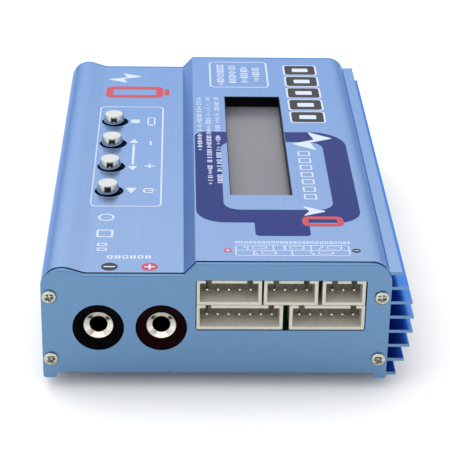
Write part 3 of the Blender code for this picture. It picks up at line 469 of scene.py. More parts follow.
def prism(name, outlines, span, upright=False, edge=0.0):
    """A solid from flat outlines, the first one outside and the rest holes or islands.

    Upright outlines are X-Z sections that run along Y, and flat ones are X-Y shapes along Z.
    An edge above 0 rounds the rims at both ends.
    """
    curve = bpy.data.curves.new(name, "CURVE")
    curve.dimensions = "2D"
    curve.fill_mode = "BOTH"
    curve.extrude = ((span[1] - span[0]) / 2 - edge) * MM
    curve.bevel_depth = edge * MM
    curve.bevel_resolution = 1
    curve.offset = -edge * MM
    for outline in outlines:
        spline = curve.splines.new("POLY")
        spline.points.add(len(outline) - 1)
        for point, (x, y) in zip(spline.points, outline):
            point.co = (x * MM, y * MM, 0.0, 1.0)
        spline.use_cyclic_u = True
    guide = new_piece(name + "_guide", curve)
    offset = sum(span) / 2 * MM
    if upright:
        guide.rotation_euler = (math.pi / 2, 0.0, 0.0)
        guide.location = (0.0, offset, 0.0)
    else:
        guide.location = (0.0, 0.0, offset)
    mesh = evaluated_mesh(guide, name)
    mesh.transform(guide.matrix_world)
    bpy.data.objects.remove(guide, do_unlink=True)
    shape = bmesh.new()
    shape.from_mesh(mesh)
    bpy.data.meshes.remove(mesh)
    bmesh.ops.remove_doubles(shape, verts=shape.verts, dist=WELD)
    face_outwards(shape)
    return piece_from(shape, name)


def funnel(name, x_range, y_range, top, depth, chamfer):
    """A cutter for a rectangular window whose upper edge is chamfered."""
    sections = []
    for z, grow in ((top + 1, chamfer + 1), (top - chamfer, 0.0), (top - depth, 0.0)):
        x0, x1 = x_range[0] - grow, x_range[1] + grow
        y0, y1 = y_range[0] - grow, y_range[1] + grow
        corners = ((x0, y0), (x1, y0), (x1, y1), (x0, y1))
        sections.append([Vector((x, y, z)) * MM for x, y in corners])
    shape = bmesh.new()
    loft(shape, sections)
    return piece_from(shape, name)


def turned(name, profile, place, axis, steps=64):
    """A turned solid. The profile holds (radius, height) pairs along the axis from the place."""
    shape = bmesh.new()
    points = [shape.verts.new((radius * MM, 0.0, height * MM)) for radius, height in profile]
    closed = profile[0][0] > 0 and profile[-1][0] > 0
    edges = [shape.edges.new(pair) for pair in zip(points, points[1:])]
    if closed:
        edges.append(shape.edges.new((points[-1], points[0])))
    bmesh.ops.spin(
        shape,
        geom=points + edges,
        axis=(0, 0, 1),
        cent=(0, 0, 0),
        angle=2 * math.pi,
        steps=steps,
        use_merge=True,
    )
    bmesh.ops.remove_doubles(shape, verts=shape.verts, dist=WELD)
    face_outwards(shape)
    shape.transform(stand_on(place, axis))
    return piece_from(shape, name)


def drill(radius, depth, place, axis, steps=64, rise=1.0):
    """A round cutter that starts a rise over the place and ends a depth under it."""
    profile = [(0.0, rise), (radius, rise), (radius, -depth), (0.0, -depth)]
    return turned("drill", profile, place, axis, steps)


def slab(name, x_range, y_range, z_range):
    """A box with sharp edges, for shapes that are cut or softened later."""
    shape = bmesh.new()
    bmesh.ops.create_cube(shape, size=1.0)
    ranges = (x_range, y_range, z_range)
    size = Matrix.Diagonal([(r[1] - r[0]) * MM for r in ranges] + [1.0])
    centre = Vector([sum(r) / 2 * MM for r in ranges])
    shape.transform(Matrix.Translation(centre) @ size)
    return piece_from(shape, name)


def join(obj, others, operation="UNION"):
    """Joins or cuts solids and removes the ones that were used up."""
    for other in others:
        boolean = obj.modifiers.new("solid", "BOOLEAN")
        boolean.operation = operation
        boolean.solver = "EXACT"
        boolean.object = other
    baked(obj)
    for other in others:
        bpy.data.objects.remove(other, do_unlink=True)
    return obj


def carve(obj, cutters):
    """Cuts solids out of a piece."""
    return join(obj, cutters, "DIFFERENCE")


def soften(obj, width, angle=32.0, segments=2):
    """Breaks the edges of a blocky solid."""
    bevel = obj.modifiers.new("edge", "BEVEL")
    bevel.width = width * MM
    bevel.segments = segments
    bevel.limit_method = "ANGLE"
    bevel.angle_limit = math.radians(angle)
    bevel.use_clamp_overlap = False
    return even_shading(baked(obj))


def even_shading(obj, angle=50.0):
    """Smooth shading that keeps flat faces flat between their broken edges."""
    smooth(obj, angle)
    even = obj.modifiers.new("even_shading", "WEIGHTED_NORMAL")
    even.keep_sharp = True
    even.weight = 80
    return obj


def smooth(obj, angle=40.0):
    """Smooth shading up to an angle between faces, in degrees."""
    obj.data.shade_smooth()
    obj.data.set_sharp_from_angle(angle=math.radians(angle))
    return obj


# ---------------------------------------------------------------- case section
def deck_outline(inset=0.0):
    """Top of the case from the upper deck down to the left wall, moved inwards by the inset."""
    slope = math.atan2(UPPER_DECK_Z - LOWER_DECK_Z, SLOPE_TOP_X - SLOPE_FOOT_X)
    shift = inset * math.tan(slope / 2)
    radius = HUMP_RADIUS - inset
    deck_z = LOWER_DECK_Z - inset
    fall = math.radians(HUMP_SLOPE)
    leave_x = HUMP_X + radius * math.sin(fall)
    leave_z = HUMP_Z + radius * math.cos(fall)
    dip_x = leave_x + (leave_z - deck_z) / math.tan(fall)
    run = DIP_RADIUS * math.tan(fall / 2)
    dip_start = 90 + HUMP_SLOPE
    dip = arc(dip_x + run, deck_z + DIP_RADIUS, DIP_RADIUS, -90, -dip_start, 6)
    slope_corners = rounded(
        [
            (SLOPE_TOP_X + shift + 3.0, UPPER_DECK_Z - inset),
            (SLOPE_TOP_X + shift, UPPER_DECK_Z - inset, CREASE_RADIUS),
            (SLOPE_FOOT_X + shift, deck_z, CREASE_RADIUS),
            (SLOPE_FOOT_X + shift - 3.0, deck_z),
        ]
    )
    return slope_corners + dip + arc(HUMP_X, HUMP_Z, radius, 90 - HUMP_SLOPE, 180, 30)


def right_corner(inset=0.0, start=0.0):
    """The case's upper right corner, moved inwards by the inset."""
    centre_x, centre_z = RIGHT_X - CORNER_RADIUS, UPPER_DECK_Z - CORNER_RADIUS
    return arc(centre_x, centre_z, CORNER_RADIUS - inset, start, 90, 24)


def fin_tip_x(index):
    """The fin tips lie on an arc whose middle pair reaches the full width."""
    offset = (index - (FIN_COUNT - 1) / 2) * FIN_PITCH
    drop = FIN_ARC_RADIUS - math.sqrt(FIN_ARC_RADIUS**2 - offset**2)
    least = FIN_ARC_RADIUS - math.sqrt(FIN_ARC_RADIUS**2 - (FIN_PITCH / 2) ** 2)
    return TRAY_HIGH.x - (drop - least)


def screw_places(side):
    """Centres of the four screws of an end plate."""
    return [middle(f"{side}_screw_{i}") for i in (1, 2, 3, 4)]


def button_place(name):
    """Middle of a button's top face."""
    centre, high = middle(f"button_{name}"), box_mm(f"button_{name}")[1]
    return Vector((centre.x, centre.y, high.z))


# ---------------------------------------------------------------- case
def add_boss(shell, place, span):
    """Adds a round screw boss along an extrusion, and returns the cutter for its bore."""
    boss = circle(place.x, place.z, BOSS_RADIUS, 32)
    join(shell, [prism("boss", [boss], span, upright=True)])
    port = circle(place.x, place.z, PORT_RADIUS, 24)
    return prism("port", [port], (span[0] - 1, span[1] + 1), upright=True)


def make_top_cover():
    """Upper extrusion with its decks, left shoulder, grooved left wall and right lip."""
    seam_z = HEAT_TOP_Z + SEAM_GAP
    rise = (seam_z - (UPPER_DECK_Z - CORNER_RADIUS)) / CORNER_RADIUS
    outer = right_corner(0.0, math.degrees(math.asin(rise))) + deck_outline()
    for i in reversed(range(GROOVE_COUNT)):
        z = GROOVE_FIRST_Z + i * GROOVE_PITCH
        half = GROOVE_PITCH / 4
        outer += rounded(
            [
                (LEFT_X, z + 2 * half),
                (LEFT_X, z + half, GROOVE_ROUND),
                (LEFT_X + GROOVE_DEPTH, z, GROOVE_ROUND),
                (LEFT_X, z - half, GROOVE_ROUND),
            ],
            3,
        )[1:]
    bottom_z = LEFT_SEAM_Z + SEAM_GAP
    lip_right = HEAT_INNER_X - SEAM_GAP
    lip_left = lip_right - LIP_WIDTH
    lip_foot = seam_z - LIP_HEIGHT
    inner = [(lip_right, seam_z), (lip_right, lip_foot), (lip_left, lip_foot)]
    inner.append((lip_left, UPPER_DECK_Z - COVER_WALL))
    inner += deck_outline(COVER_WALL)
    inner.append((LEFT_X + COVER_WALL, bottom_z))
    outline = outer + [(LEFT_X, bottom_z)] + inner[::-1]
    span = (COVER_LOW.y, COVER_HIGH.y)
    cover = prism("top_cover_shell", [outline], span, upright=True, edge=SHELL_EDGE)

    cutters = [
        add_boss(cover, middle("front_screw_2"), span),
        funnel("window", WINDOW_X, WINDOW_Y, UPPER_DECK_Z, CUT_DEPTH, HOLE_CHAMFER),
    ]
    wide = BUTTON_HOLE_RADIUS + HOLE_CHAMFER + 1
    profile = [(0.0, 1.0), (wide, 1.0), (BUTTON_HOLE_RADIUS, -HOLE_CHAMFER),
               (BUTTON_HOLE_RADIUS, -CUT_DEPTH), (0.0, -CUT_DEPTH)]
    for name in BUTTONS:
        place = button_place(name)
        spot = (place.x + BUTTON_HOLE_SHIFT, place.y, LOWER_DECK_Z)
        cutters.append(turned("hole", profile, spot, (0, 0, 1), 72))
    carve(cover, cutters)
    even_shading(cover, 35)
    return finish_piece(cover, "extrusion", stands_for=["top_cover"])


def make_base_tray():
    """Lower extrusion with its runners, board rails and finned right wall."""
    inner_left = LEFT_X + RUNNER_WIDTH
    inner_right = HEAT_OUTER_X - RUNNER_WIDTH
    corners = [
        (LEFT_X, LEFT_SEAM_Z),
        (LEFT_X, RUNNER_Z, RUNNER_ROUND),
        (inner_left, RUNNER_Z, EDGE_ROUND),
        (inner_left + RUNNER_SPLAY, BASE_Z, INNER_ROUND),
        (inner_right - RUNNER_SPLAY, BASE_Z, INNER_ROUND),
        (inner_right, RUNNER_Z, EDGE_ROUND),
        (HEAT_OUTER_X, RUNNER_Z),
    ]
    for i in range(FIN_COUNT):
        z = FIN_FIRST_Z + i * FIN_PITCH
        low, high = z - FIN_THICKNESS / 2, z + FIN_THICKNESS / 2
        tip = fin_tip_x(i)
        corners += [
            (HEAT_OUTER_X, low, FIN_ROOT_ROUND if i else 0.0),
            (tip, low, FIN_TIP_ROUND),
            (tip, high, FIN_TIP_ROUND),
        ]
        if i < FIN_COUNT - 1:
            corners.append((HEAT_OUTER_X, high, FIN_ROOT_ROUND))
    corners += [(HEAT_INNER_X, HEAT_TOP_Z), (HEAT_INNER_X, FLOOR_Z, INNER_ROUND)]
    rail_top = FLOOR_Z + RAIL_HEIGHT
    for x in reversed(RAIL_XS):
        right, left = x + RAIL_WIDTH / 2, x - RAIL_WIDTH / 2
        corners += [(right, FLOOR_Z, EDGE_ROUND), (right, rail_top)]
        corners += [(left, rail_top), (left, FLOOR_Z, EDGE_ROUND)]
    tongue_left = WALL_INNER_X - TONGUE_WIDTH
    corners += [
        (WALL_INNER_X, FLOOR_Z, INNER_ROUND),
        (WALL_INNER_X, LEFT_SEAM_Z + TONGUE_HEIGHT),
        (tongue_left, LEFT_SEAM_Z + TONGUE_HEIGHT),
        (tongue_left, LEFT_SEAM_Z),
    ]
    low_left, _, low_right, high_right = screw_places("front")
    ports = [circle(p.x, p.z, PORT_RADIUS, 24) for p in (low_right, high_right)]
    span = (TRAY_LOW.y, TRAY_HIGH.y)
    tray = prism(
        "base_tray_shell", [rounded(corners), *ports], span, upright=True, edge=SHELL_EDGE
    )
    cutters = [add_boss(tray, low_left, span)]
    sink = [(0.0, 1.0), (2.35, 1.0), (2.35, -0.15), (1.35, -1.25), (1.35, -4.5), (0.0, -4.5)]
    for i in (1, 2, 3, 4):
        place = middle(f"board_screw_{i}")
        cutters.append(turned("sink", sink, (place.x, place.y, BASE_Z), (0, 0, -1)))
    for i in (1, 2):
        place = middle(f"clamp_screw_{i}")
        spot = (HEAT_INNER_X, place.y, place.z)
        cutters.append(drill(1.3, 1.0, spot, (1, 0, 0), 24, rise=2.6))
    carve(tray, cutters)
    even_shading(tray, 35)
    finish_piece(tray, "extrusion", stands_for=["base_tray"])
    finish_tray_faces(tray)
    return tray


def finish_tray_faces(tray):
    """Painted shade between the fins: a darker blue copy of the finish there. The sawn ends match
    the end plates.
    """
    tray.data.materials.append(MATERIALS["shaded_fin_gap"])
    tray.data.materials.append(MATERIALS["plate"])
    for face in tray.data.polygons:
        if abs(face.normal.y) > 0.7:
            face.material_index = 2
        x, _, z = face.center / MM
        lengthwise = abs(face.normal.y) < 0.3
        # Painted shade: faces between the fins get the darker blue copy of the anodised finish
        if lengthwise and HEAT_OUTER_X - 0.1 < x < TRAY_HIGH.x - 1 and z < HEAT_TOP_Z - 0.2:
            face.material_index = 1


def plate_outline():
    """Outline of an end plate, a little inside that of the case."""
    left, right = LEFT_X + PLATE_INSET, RIGHT_X - PLATE_INSET
    bottom, foot = BASE_Z + PLATE_INSET, RUNNER_Z + PLATE_INSET
    inner = RUNNER_WIDTH + RUNNER_SPLAY
    feet = rounded(
        [
            (left, HUMP_Z - 1),
            (left, foot, RUNNER_ROUND),
            (left + RUNNER_WIDTH, foot, INNER_ROUND),
            (left + inner, bottom, INNER_ROUND),
            (right - inner, bottom, INNER_ROUND),
            (right - RUNNER_WIDTH, foot, INNER_ROUND),
            (right, foot, RUNNER_ROUND),
            (right, HUMP_Z - 1),
        ],
        6,
    )
    return right_corner(PLATE_INSET) + deck_outline(PLATE_INSET) + feet


def make_plate(side, span, openings):
    """An end plate with its screw holes and openings."""
    holes = [circle(p.x, p.z, SCREW_HOLE_RADIUS, 32) for p in screw_places(side)]
    outlines = [plate_outline(), *holes, *openings]
    plate = prism(f"{side}_plate_sheet", outlines, span, upright=True, edge=PLATE_EDGE)
    even_shading(plate, 35)
    return finish_piece(plate, "plate", stands_for=[f"{side}_plate"])


def make_end_plates():
    """Sheets on both ends, opened for the sockets, headers and inlet."""
    sockets = [middle(f"output_socket_{pole}") for pole in ("negative", "positive")]
    openings = [circle(p.x, p.z, SOCKET_HOLE_RADIUS) for p in sockets]
    openings.append(block(HEADER_WINDOW_X, HEADER_WINDOW_Z, INNER_ROUND))
    make_plate("front", (FRONT_LOW.y, FRONT_HIGH.y), openings)

    jack = middle("dc_jack")
    low, high = box_mm("sensor_port")
    port_x = (low.x - SENSOR_MARGIN, high.x + SENSOR_MARGIN)
    port_z = (low.z - SENSOR_MARGIN, high.z + SENSOR_MARGIN)
    jack_z = low.z + JACK_RISE
    openings = [circle(jack.x, jack_z, JACK_HOLE_RADIUS), block(port_x, port_z, INNER_ROUND)]
    make_plate("rear", (REAR_LOW.y, REAR_HIGH.y), openings)


def make_plate_screws():
    """Pan-head screws with a cross recess, each turned to its own angle."""
    turns = random.Random(7)
    radius, rise = 1.7, 1.1
    dome = [(radius * math.sin(a), 0.2 + (rise - 0.2) * math.cos(a))
            for a in (math.radians(6 * i) for i in range(16))]
    profile = dome + [(radius, 0.12), (radius - 0.08, 0.05), (0.8, 0.05), (0.8, -6.6), (0.4, -7.0),
                      (0.0, -7.0)]
    for side, facing in (("front", -1), ("rear", 1)):
        outer_y = FRONT_LOW.y if facing < 0 else REAR_HIGH.y
        for i, place in enumerate(screw_places(side)):
            node = f"{side}_screw_{i + 1}"
            spot = (place.x, outer_y, place.z)
            turn = turns.uniform(0, math.pi / 2)
            make_screw(node, profile, spot, (0, facing, 0), turn, "screw")


def make_screw(node, profile, spot, axis, turn, material, size=1.0):
    """A turned screw with a cross recess in its head, which rises along the axis."""
    screw = turned(f"{node}_head", profile, spot, axis, 48)
    top = max(height for _, height in profile)
    carve(screw, [cross_recess(spot, axis, turn, top, size)])
    soften(screw, 0.05, 40)
    return finish_piece(screw, material, stands_for=[node])


def cross_recess(spot, axis, angle, top, size):
    """A tapered cross that is pressed into a screw head."""
    arm, half, deep = 1.2 * size, 0.4 * size, 1.3
    cross = []
    for quarter in range(4):
        turn = Matrix.Rotation(quarter * math.pi / 2, 2)
        cross += [turn @ Vector(p) for p in ((arm, -half), (arm, half), (half, half))]
    shape = bmesh.new()
    mouth = [(p.x, p.y, top + 0.2) for p in cross]
    foot = [(p.x * 0.5, p.y * 0.5, top - deep) for p in cross]
    loft(shape, (mouth, foot))
    spin = Matrix.Rotation(angle, 4, "Z")
    shape.transform(stand_on(spot, axis) @ spin @ Matrix.Scale(MM, 4))
    return piece_from(shape, "cross")


def make_feet():
    """Rubber feet with a rounded rim and a shallow dish underneath."""
    rim_radius, rim_round = 4.32, 0.6
    rim_x, angles = rim_radius - rim_round, [math.radians(15 * k) for k in range(7)]
    rim = [(rim_x + rim_round * math.cos(a), rim_round - rim_round * math.sin(a)) for a in angles]
    dish = [(2.2, 0.0), (1.8, 0.15), (0.0, 0.25)]
    for i in (1, 2, 3, 4):
        low, high = box_mm(f"rubber_foot_{i}")
        centre = (low + high) / 2
        profile = [(0.0, high.z), (4.5, high.z)] + rim + dish
        foot = turned(f"rubber_foot_{i}_pad", profile, (centre.x, centre.y, 0.0), (0, 0, 1), 48)
        smooth(foot, 50)
        finish_piece(foot, "rubber", stands_for=[f"rubber_foot_{i}"])


# ---------------------------------------------------------------- display and buttons
def make_display():
    """The display's black surround and its glass."""
    low, high = box_mm("lcd_bezel")
    gap, wall = 0.03, 0.08
    flange_top = 31.3  # just under the deck's inner face
    flange = slab("lcd_surround", (low.x, high.x), (low.y, high.y), (low.z, flange_top))
    rim_x = (WINDOW_X[0] + gap, WINDOW_X[1] - gap)
    rim_y = (WINDOW_Y[0] + gap, WINDOW_Y[1] - gap)
    join(flange, [slab("rim", rim_x, rim_y, (low.z + 0.5, high.z))])
    opening_x = (rim_x[0] + wall, rim_x[1] - wall)
    opening_y = (rim_y[0] + wall, rim_y[1] - wall)
    carve(flange, [slab("opening", opening_x, opening_y, (low.z - 5, high.z + 5))])
    soften(flange, 0.08)
    finish_piece(flange, "bezel", stands_for=["lcd_bezel"])

    low, high = box_mm("lcd_glass")
    glass = prism(
        "lcd_cell", [block((low.x, high.x), (low.y, high.y), 0.4)], (low.z, high.z)
    )
    soften(glass, 0.12)
    finish_piece(glass, "glass", stands_for=["lcd_glass"])


def make_buttons():
    """Plated caps with a flat top and a slanted upper side, on a collar and a stem."""
    radius, shoulder, slant = 2.8, 0.2, 1.5
    top = radius - 0.38
    collar_radius, collar_top, collar_foot = 4.2, -4.4, -5.2
    stem_radius, stem_foot = 1.7, -8.6
    profile = [(0.0, 0.0), (top - shoulder - 0.1, 0.0)]
    for i in range(9):
        a = math.radians(8 * i)
        profile.append((top - shoulder + shoulder * math.sin(a), shoulder * (math.cos(a) - 1)))
    profile += [
        (radius - 0.03, -slant),
        (radius, -slant - 0.12),
        (radius, collar_top + 0.2),
        (radius + 0.2, collar_top),
        (collar_radius - 0.1, collar_top),
        (collar_radius, collar_top - 0.1),
        (collar_radius, collar_foot + 0.1),
        (collar_radius - 0.1, collar_foot),
        (stem_radius, collar_foot),
        (stem_radius, stem_foot + 0.1),
        (stem_radius - 0.1, stem_foot),
        (0.0, stem_foot),
    ]
    for name in BUTTONS:
        place = button_place(name)
        cap = turned(f"button_{name}_cap", profile, place, (0, 0, 1), 72)
        even_shading(cap, 40)
        finish_piece(cap, "chrome", f"button_{name}", [f"button_{name}"])


# ---------------------------------------------------------------- connectors
def make_output_sockets():
    """Moulded socket bodies round plated sleeves for 4 mm plugs."""
    for pole in ("negative", "positive"):
        low, high = box_mm(f"output_socket_{pole}")
        centre = (low + high) / 2
        face_y = box_mm(f"output_contact_{pole}")[0].y
        mouth = (centre.x, face_y, centre.z)
        back = face_y - high.y
        body = [(3.5, -0.12), (3.62, 0.0), (4.3, 0.0), (4.45, 0.06), (5.1, 0.92), (5.2, 1.0),
                (5.34, 1.04), (5.66, 1.04), (5.8, 0.94), (5.8, -0.5), (6.3, -0.5), (6.4, -0.6),
                (6.4, back), (3.5, back)]
        socket = turned(f"output_socket_{pole}_body", body, mouth, (0, -1, 0), 72)
        smooth(socket, 35)
        colour = "socket_black" if pole == "negative" else "socket_red"
        finish_piece(socket, colour, stands_for=[f"output_socket_{pole}"])

        sleeve = [(2.05, -13.0), (2.05, -0.76), (2.1, -0.63), (2.22, -0.54), (3.22, -0.12),
                  (3.3, -0.05), (3.38, -0.05), (3.45, -0.15), (3.45, -14.4), (1.2, -14.5),
                  (1.2, -18.7), (1.0, -18.9), (0.0, -18.9)]
        contact = turned(f"output_contact_{pole}_sleeve", [(0.0, -13.0)] + sleeve, mouth,
                         (0, -1, 0), 72)
        smooth(contact, 30)
        finish_piece(contact, "contact", stands_for=[f"output_contact_{pole}"])
        darken_bore(contact, centre, face_y + 0.66)


def darken_bore(contact, centre, from_y):
    """Painted shade: the bore behind the mouth is dull and dark, unlike the bright mouth."""
    bore_radius, bore_length = 2.1, 12.5
    # Painted shade: the faces deep in the bore get a dark, dull copy of the brass
    contact.data.materials.append(MATERIALS["bore_shade"])
    for face in contact.data.polygons:
        x, y, z = face.center / MM
        inside = math.hypot(x - centre.x, z - centre.z) < bore_radius
        if inside and from_y < y < from_y + bore_length:
            face.material_index = 1


def make_header(node, pins, inward):
    """A shrouded pin header: a nylon housing with two key slots, and square tinned pins."""
    low, high = box_mm(node)
    wall, pitch, end_margin, slot_half = 0.75, 2.5, 2.45, 0.675
    housing_depth, cavity_depth = 7.0, 5.8
    mouth = low.y if inward > 0 else high.y

    def along(start, end):
        return sorted((mouth + inward * start, mouth + inward * end))

    whole = along(0.0, housing_depth)
    housing = slab(f"{node}_housing", (low.x, high.x), whole, (low.z, high.z))
    cavity_x, cavity_z = (low.x + wall, high.x - wall), (low.z + wall, high.z - wall)
    cavity = slab("cavity", cavity_x, along(-1.0, cavity_depth), cavity_z)
    first = low.x + end_margin
    last = first + (pins - 1) * pitch
    slot_y, slot_z = along(-1.0, housing_depth + 1.0), (high.z - 2.4 * wall, high.z + 1.0)
    slots = [
        slab("slot", (x - slot_half, x + slot_half), slot_y, slot_z)
        for x in (first + 0.3, last - 0.3)
    ]
    carve(housing, [cavity, *slots])
    soften(housing, 0.09)
    finish_piece(housing, "nylon", stands_for=[node])
    # Painted shade: the cavity's back wall gets a darker copy of the nylon, as little light reaches
    # it
    housing.data.materials.append(MATERIALS["nylon_deep"])
    for face in housing.data.polygons:
        deep = inward * (face.center.y / MM - mouth)
        if abs(deep - cavity_depth) < 0.2 and inward * face.normal.y < -0.9:
            face.material_index = 1

    shape = bmesh.new()
    half, tip = PIN_SIDE / 2, PIN_SIDE / 3
    z = low.z + 2.7
    for i in range(pins):
        x = first + i * pitch
        sections = []
        for size, depth in ((tip, 2.3), (half * 0.8, 2.5), (half, 2.9), (half, 5.9)):
            y = mouth + inward * depth
            corners = ((-size, -size), (size, -size), (size, size), (-size, size))
            sections.append([Vector((x + dx, y, z + dz)) * MM for dx, dz in corners])
        loft(shape, sections)
    row = piece_from(shape, f"{node}_pins")
    soften(row, 0.04)
    finish_piece(row, "tin")


def make_power_inlet():
    """Round inlet: a black body with a round nose and a bright centre pin."""
    low, high = box_mm("dc_jack")
    x, z = (low.x + high.x) / 2, box_mm("sensor_port")[0].z + JACK_RISE
    nose_length = 5.0
    body = slab(
        "dc_jack_body", (low.x, high.x), (low.y, high.y - nose_length), (low.z, high.z)
    )
    mouth = (x, high.y, z)
    nose = [(0.0, 0.0), (3.75, 0.0), (3.9, -0.15), (3.9, -nose_length - 1), (0.0, -nose_length - 1)]
    join(body, [turned("nose", nose, mouth, (0, 1, 0))])
    bore = [(0.0, 1.0), (3.3, 1.0), (3.3, 0.02), (3.1, -0.25), (3.1, -9.0), (0.0, -9.0)]
    carve(body, [turned("bore", bore, mouth, (0, 1, 0))])
    soften(body, 0.15)
    finish_piece(body, "black", stands_for=["dc_jack"])
    pin = [(0.0, -1.2), (0.6, -1.25), (0.9, -1.5), (1.0, -1.9), (1.0, -9.0), (0.0, -9.0)]
    centre_pin = turned("dc_jack_pin", pin, mouth, (0, 1, 0), 32)
    smooth(centre_pin)
    finish_piece(centre_pin, "nickel")


# ---------------------------------------------------------------- print
def top_z(x):
    """Height of the case's top at a distance across it."""
    if x > SLOPE_TOP_X:
        return UPPER_DECK_Z
    fall = math.radians(HUMP_SLOPE)
    edge_x = HUMP_X + HUMP_RADIUS * math.sin(fall)
    edge_z = HUMP_Z + HUMP_RADIUS * math.cos(fall)
    return max(LOWER_DECK_Z, edge_z - (x - edge_x) * math.tan(fall))


def ink_print(name, outlines, material, layer=0):
    """Lays ink on the decks. A higher layer lies over a lower one, and outlines don't cross."""
    start = layer * INK_THICKNESS / 2
    film = prism(name, outlines, (start, start + INK_THICKNESS))
    for vertex in film.data.vertices:
        vertex.co.z += top_z(vertex.co.x / MM) * MM
    return finish_piece(film, material)


def glyph_run(x, y, run, height, seed, gap_chance=0.15):
    """A run of small marks that stands in for a printed line, without letters.

    The line starts at y and runs towards -Y. Its marks stand up towards +X.
    """
    chance = random.Random(seed)
    stroke = height * 0.2
    shapes = []
    position = y
    while position > y - run:
        width = height * chance.choice((0.5, 0.6, 0.7))
        if chance.random() < gap_chance:
            position -= height * 0.6
            continue
        near, far = position - width, position
        kind = chance.randrange(3)
        if kind == 0:
            shapes += ring((x, x + height), (near, far), 0.0, stroke)
        elif kind == 1:
            shapes.append(block((x, x + height), (near + stroke, far)))
        else:
            shapes += [
                block((x + stroke, x + height - stroke), (near, near + stroke)),
                block((x + stroke, x + height - stroke), (far - stroke, far)),
            ]
        position -= width + height * 0.2
    return shapes


def bolt(x, y, length, width):
    """A lightning bolt, centred on (x, y), its length along X."""
    points = [(0.5, 0.15), (-0.08, 0.5), (0.05, 0.08), (-0.5, -0.15), (0.08, -0.5), (-0.05, -0.08)]
    return rounded([(x + a * length, y + b * width, 0.25) for a, b in points])


def plus(x, y, reach, stroke):
    """A plus sign centred on (x, y)."""
    half = stroke / 2
    return [
        (x - reach, y - half), (x - half, y - half), (x - half, y - reach), (x + half, y - reach),
        (x + half, y - half), (x + reach, y - half), (x + reach, y + half), (x + half, y + half),
        (x + half, y + reach), (x - half, y + reach), (x - half, y + half), (x - reach, y + half),
    ]


def minus(x, y, reach, stroke):
    """A minus sign centred on (x, y)."""
    return block((x - reach, x + reach), (y - stroke / 2, y + stroke / 2))


def glyph_caption(x, y, width, height):
    """A caption of plain marks centred on (x, y) that reads along X."""
    marks = []
    count = 6
    pitch = width / count
    low, high = y - height / 2, y + height / 2
    for i in range(count):
        left = x - width / 2 + i * pitch
        if i % 2:
            marks.append(block((left, left + pitch * 0.3), (low, high), 0.1))
            marks.append(block((left + pitch * 0.44, left + pitch * 0.74), (low, high), 0.1))
        else:
            marks += ring((left, left + pitch * 0.74), (low, high), 0.3, height * 0.22)
    return marks


def caption_bars(x, y, width, height):
    """A caption that runs along X, as short plain bars."""
    chance = random.Random(3)
    bars, left = [], x
    while left < x + width:
        bar = height * chance.choice((0.5, 0.6, 0.7))
        bars += ring((left, left + bar), (y - height / 2, y + height / 2), 0.1, height * 0.2)
        left += bar + height * 0.25
    return bars


# Strokes of a plain number: top, upper left, upper right, middle, lower left, lower right, bottom
NUMBER_STROKES = {
    2: (1, 0, 1, 1, 1, 0, 1),
    3: (1, 0, 1, 1, 0, 1, 1),
    4: (0, 1, 1, 1, 0, 1, 0),
    5: (1, 1, 0, 1, 0, 1, 1),
    6: (1, 1, 0, 1, 1, 1, 1),
}


def number(value, x, y, height):
    """A number centred on (x, y) in straight strokes, its top towards +Y."""
    stroke, gap = height * 0.17, height * 0.03
    wide, half = height * 0.3, height / 2
    left, right = x - wide, x + wide
    flat = (left + stroke + gap, right - stroke - gap)
    places = (
        (flat, (y + half - stroke, y + half)),
        ((left, left + stroke), (y + gap, y + half)),
        ((right - stroke, right), (y + gap, y + half)),
        (flat, (y - stroke / 2, y + stroke / 2)),
        ((left, left + stroke), (y - half, y - gap)),
        ((right - stroke, right), (y - half, y - gap)),
        (flat, (y - half, y - half + stroke)),
    )
    return [block(*place) for place, drawn in zip(places, NUMBER_STROKES[value]) if drawn]


def cell_symbol(x, y, length, height):
    """A small battery symbol, centred on (x, y)."""
    left, right, cap = x - length / 2, x + length / 2, 0.25
    case = ring((left, right - cap - 0.05), (y - height / 2, y + height / 2), 0.15, height * 0.16)
    return [*case, block((right - cap, right), (y - height * 0.22, y + height * 0.22))]


def button_symbols():
    """A square, arrows and a pointer beside the buttons, and what each button does."""
    stop, decrease, increase, start = [button_place(n).y for n in reversed(BUTTONS)]
    column = -23.4  # beside the buttons
    marks = [block((column - 1.2, column + 1.2), (stop - 1.2, stop + 1.2), 0.2)]
    for y, point in ((decrease, 1), (increase, -1)):
        tip = y + point * 2.6
        marks.append(rounded([(column, tip, 0.2), (column - 1.3, y, 0.2), (column + 1.3, y, 0.2)]))
    marks.append(block((column - 0.3, column + 0.3), (increase + 1.0, decrease - 1.0)))
    pointer = [(column - 1.4, start + 1.6, 0.2), (column + 1.4, start + 1.6, 0.2)]
    marks.append(rounded([*pointer, (column, start - 1.8, 0.2)]))
    column = -19.0  # what each button does
    marks += ring((column - 1.1, column + 1.1), (stop - 2.6, stop + 2.6), 0.4, 0.4)
    marks.append(block((column - 0.5, column + 0.5), (stop - 3.3, stop - 2.7)))
    marks.append(block((column - 0.25, column + 0.25), (decrease - 1.4, decrease + 1.4)))
    marks.append(plus(column, increase, 1.4, 0.5))
    marks += hoop(column, start, 1.5, 0.5)
    marks.append(block((column - 0.25, column + 2.0), (start - 0.25, start + 0.25)))
    return marks


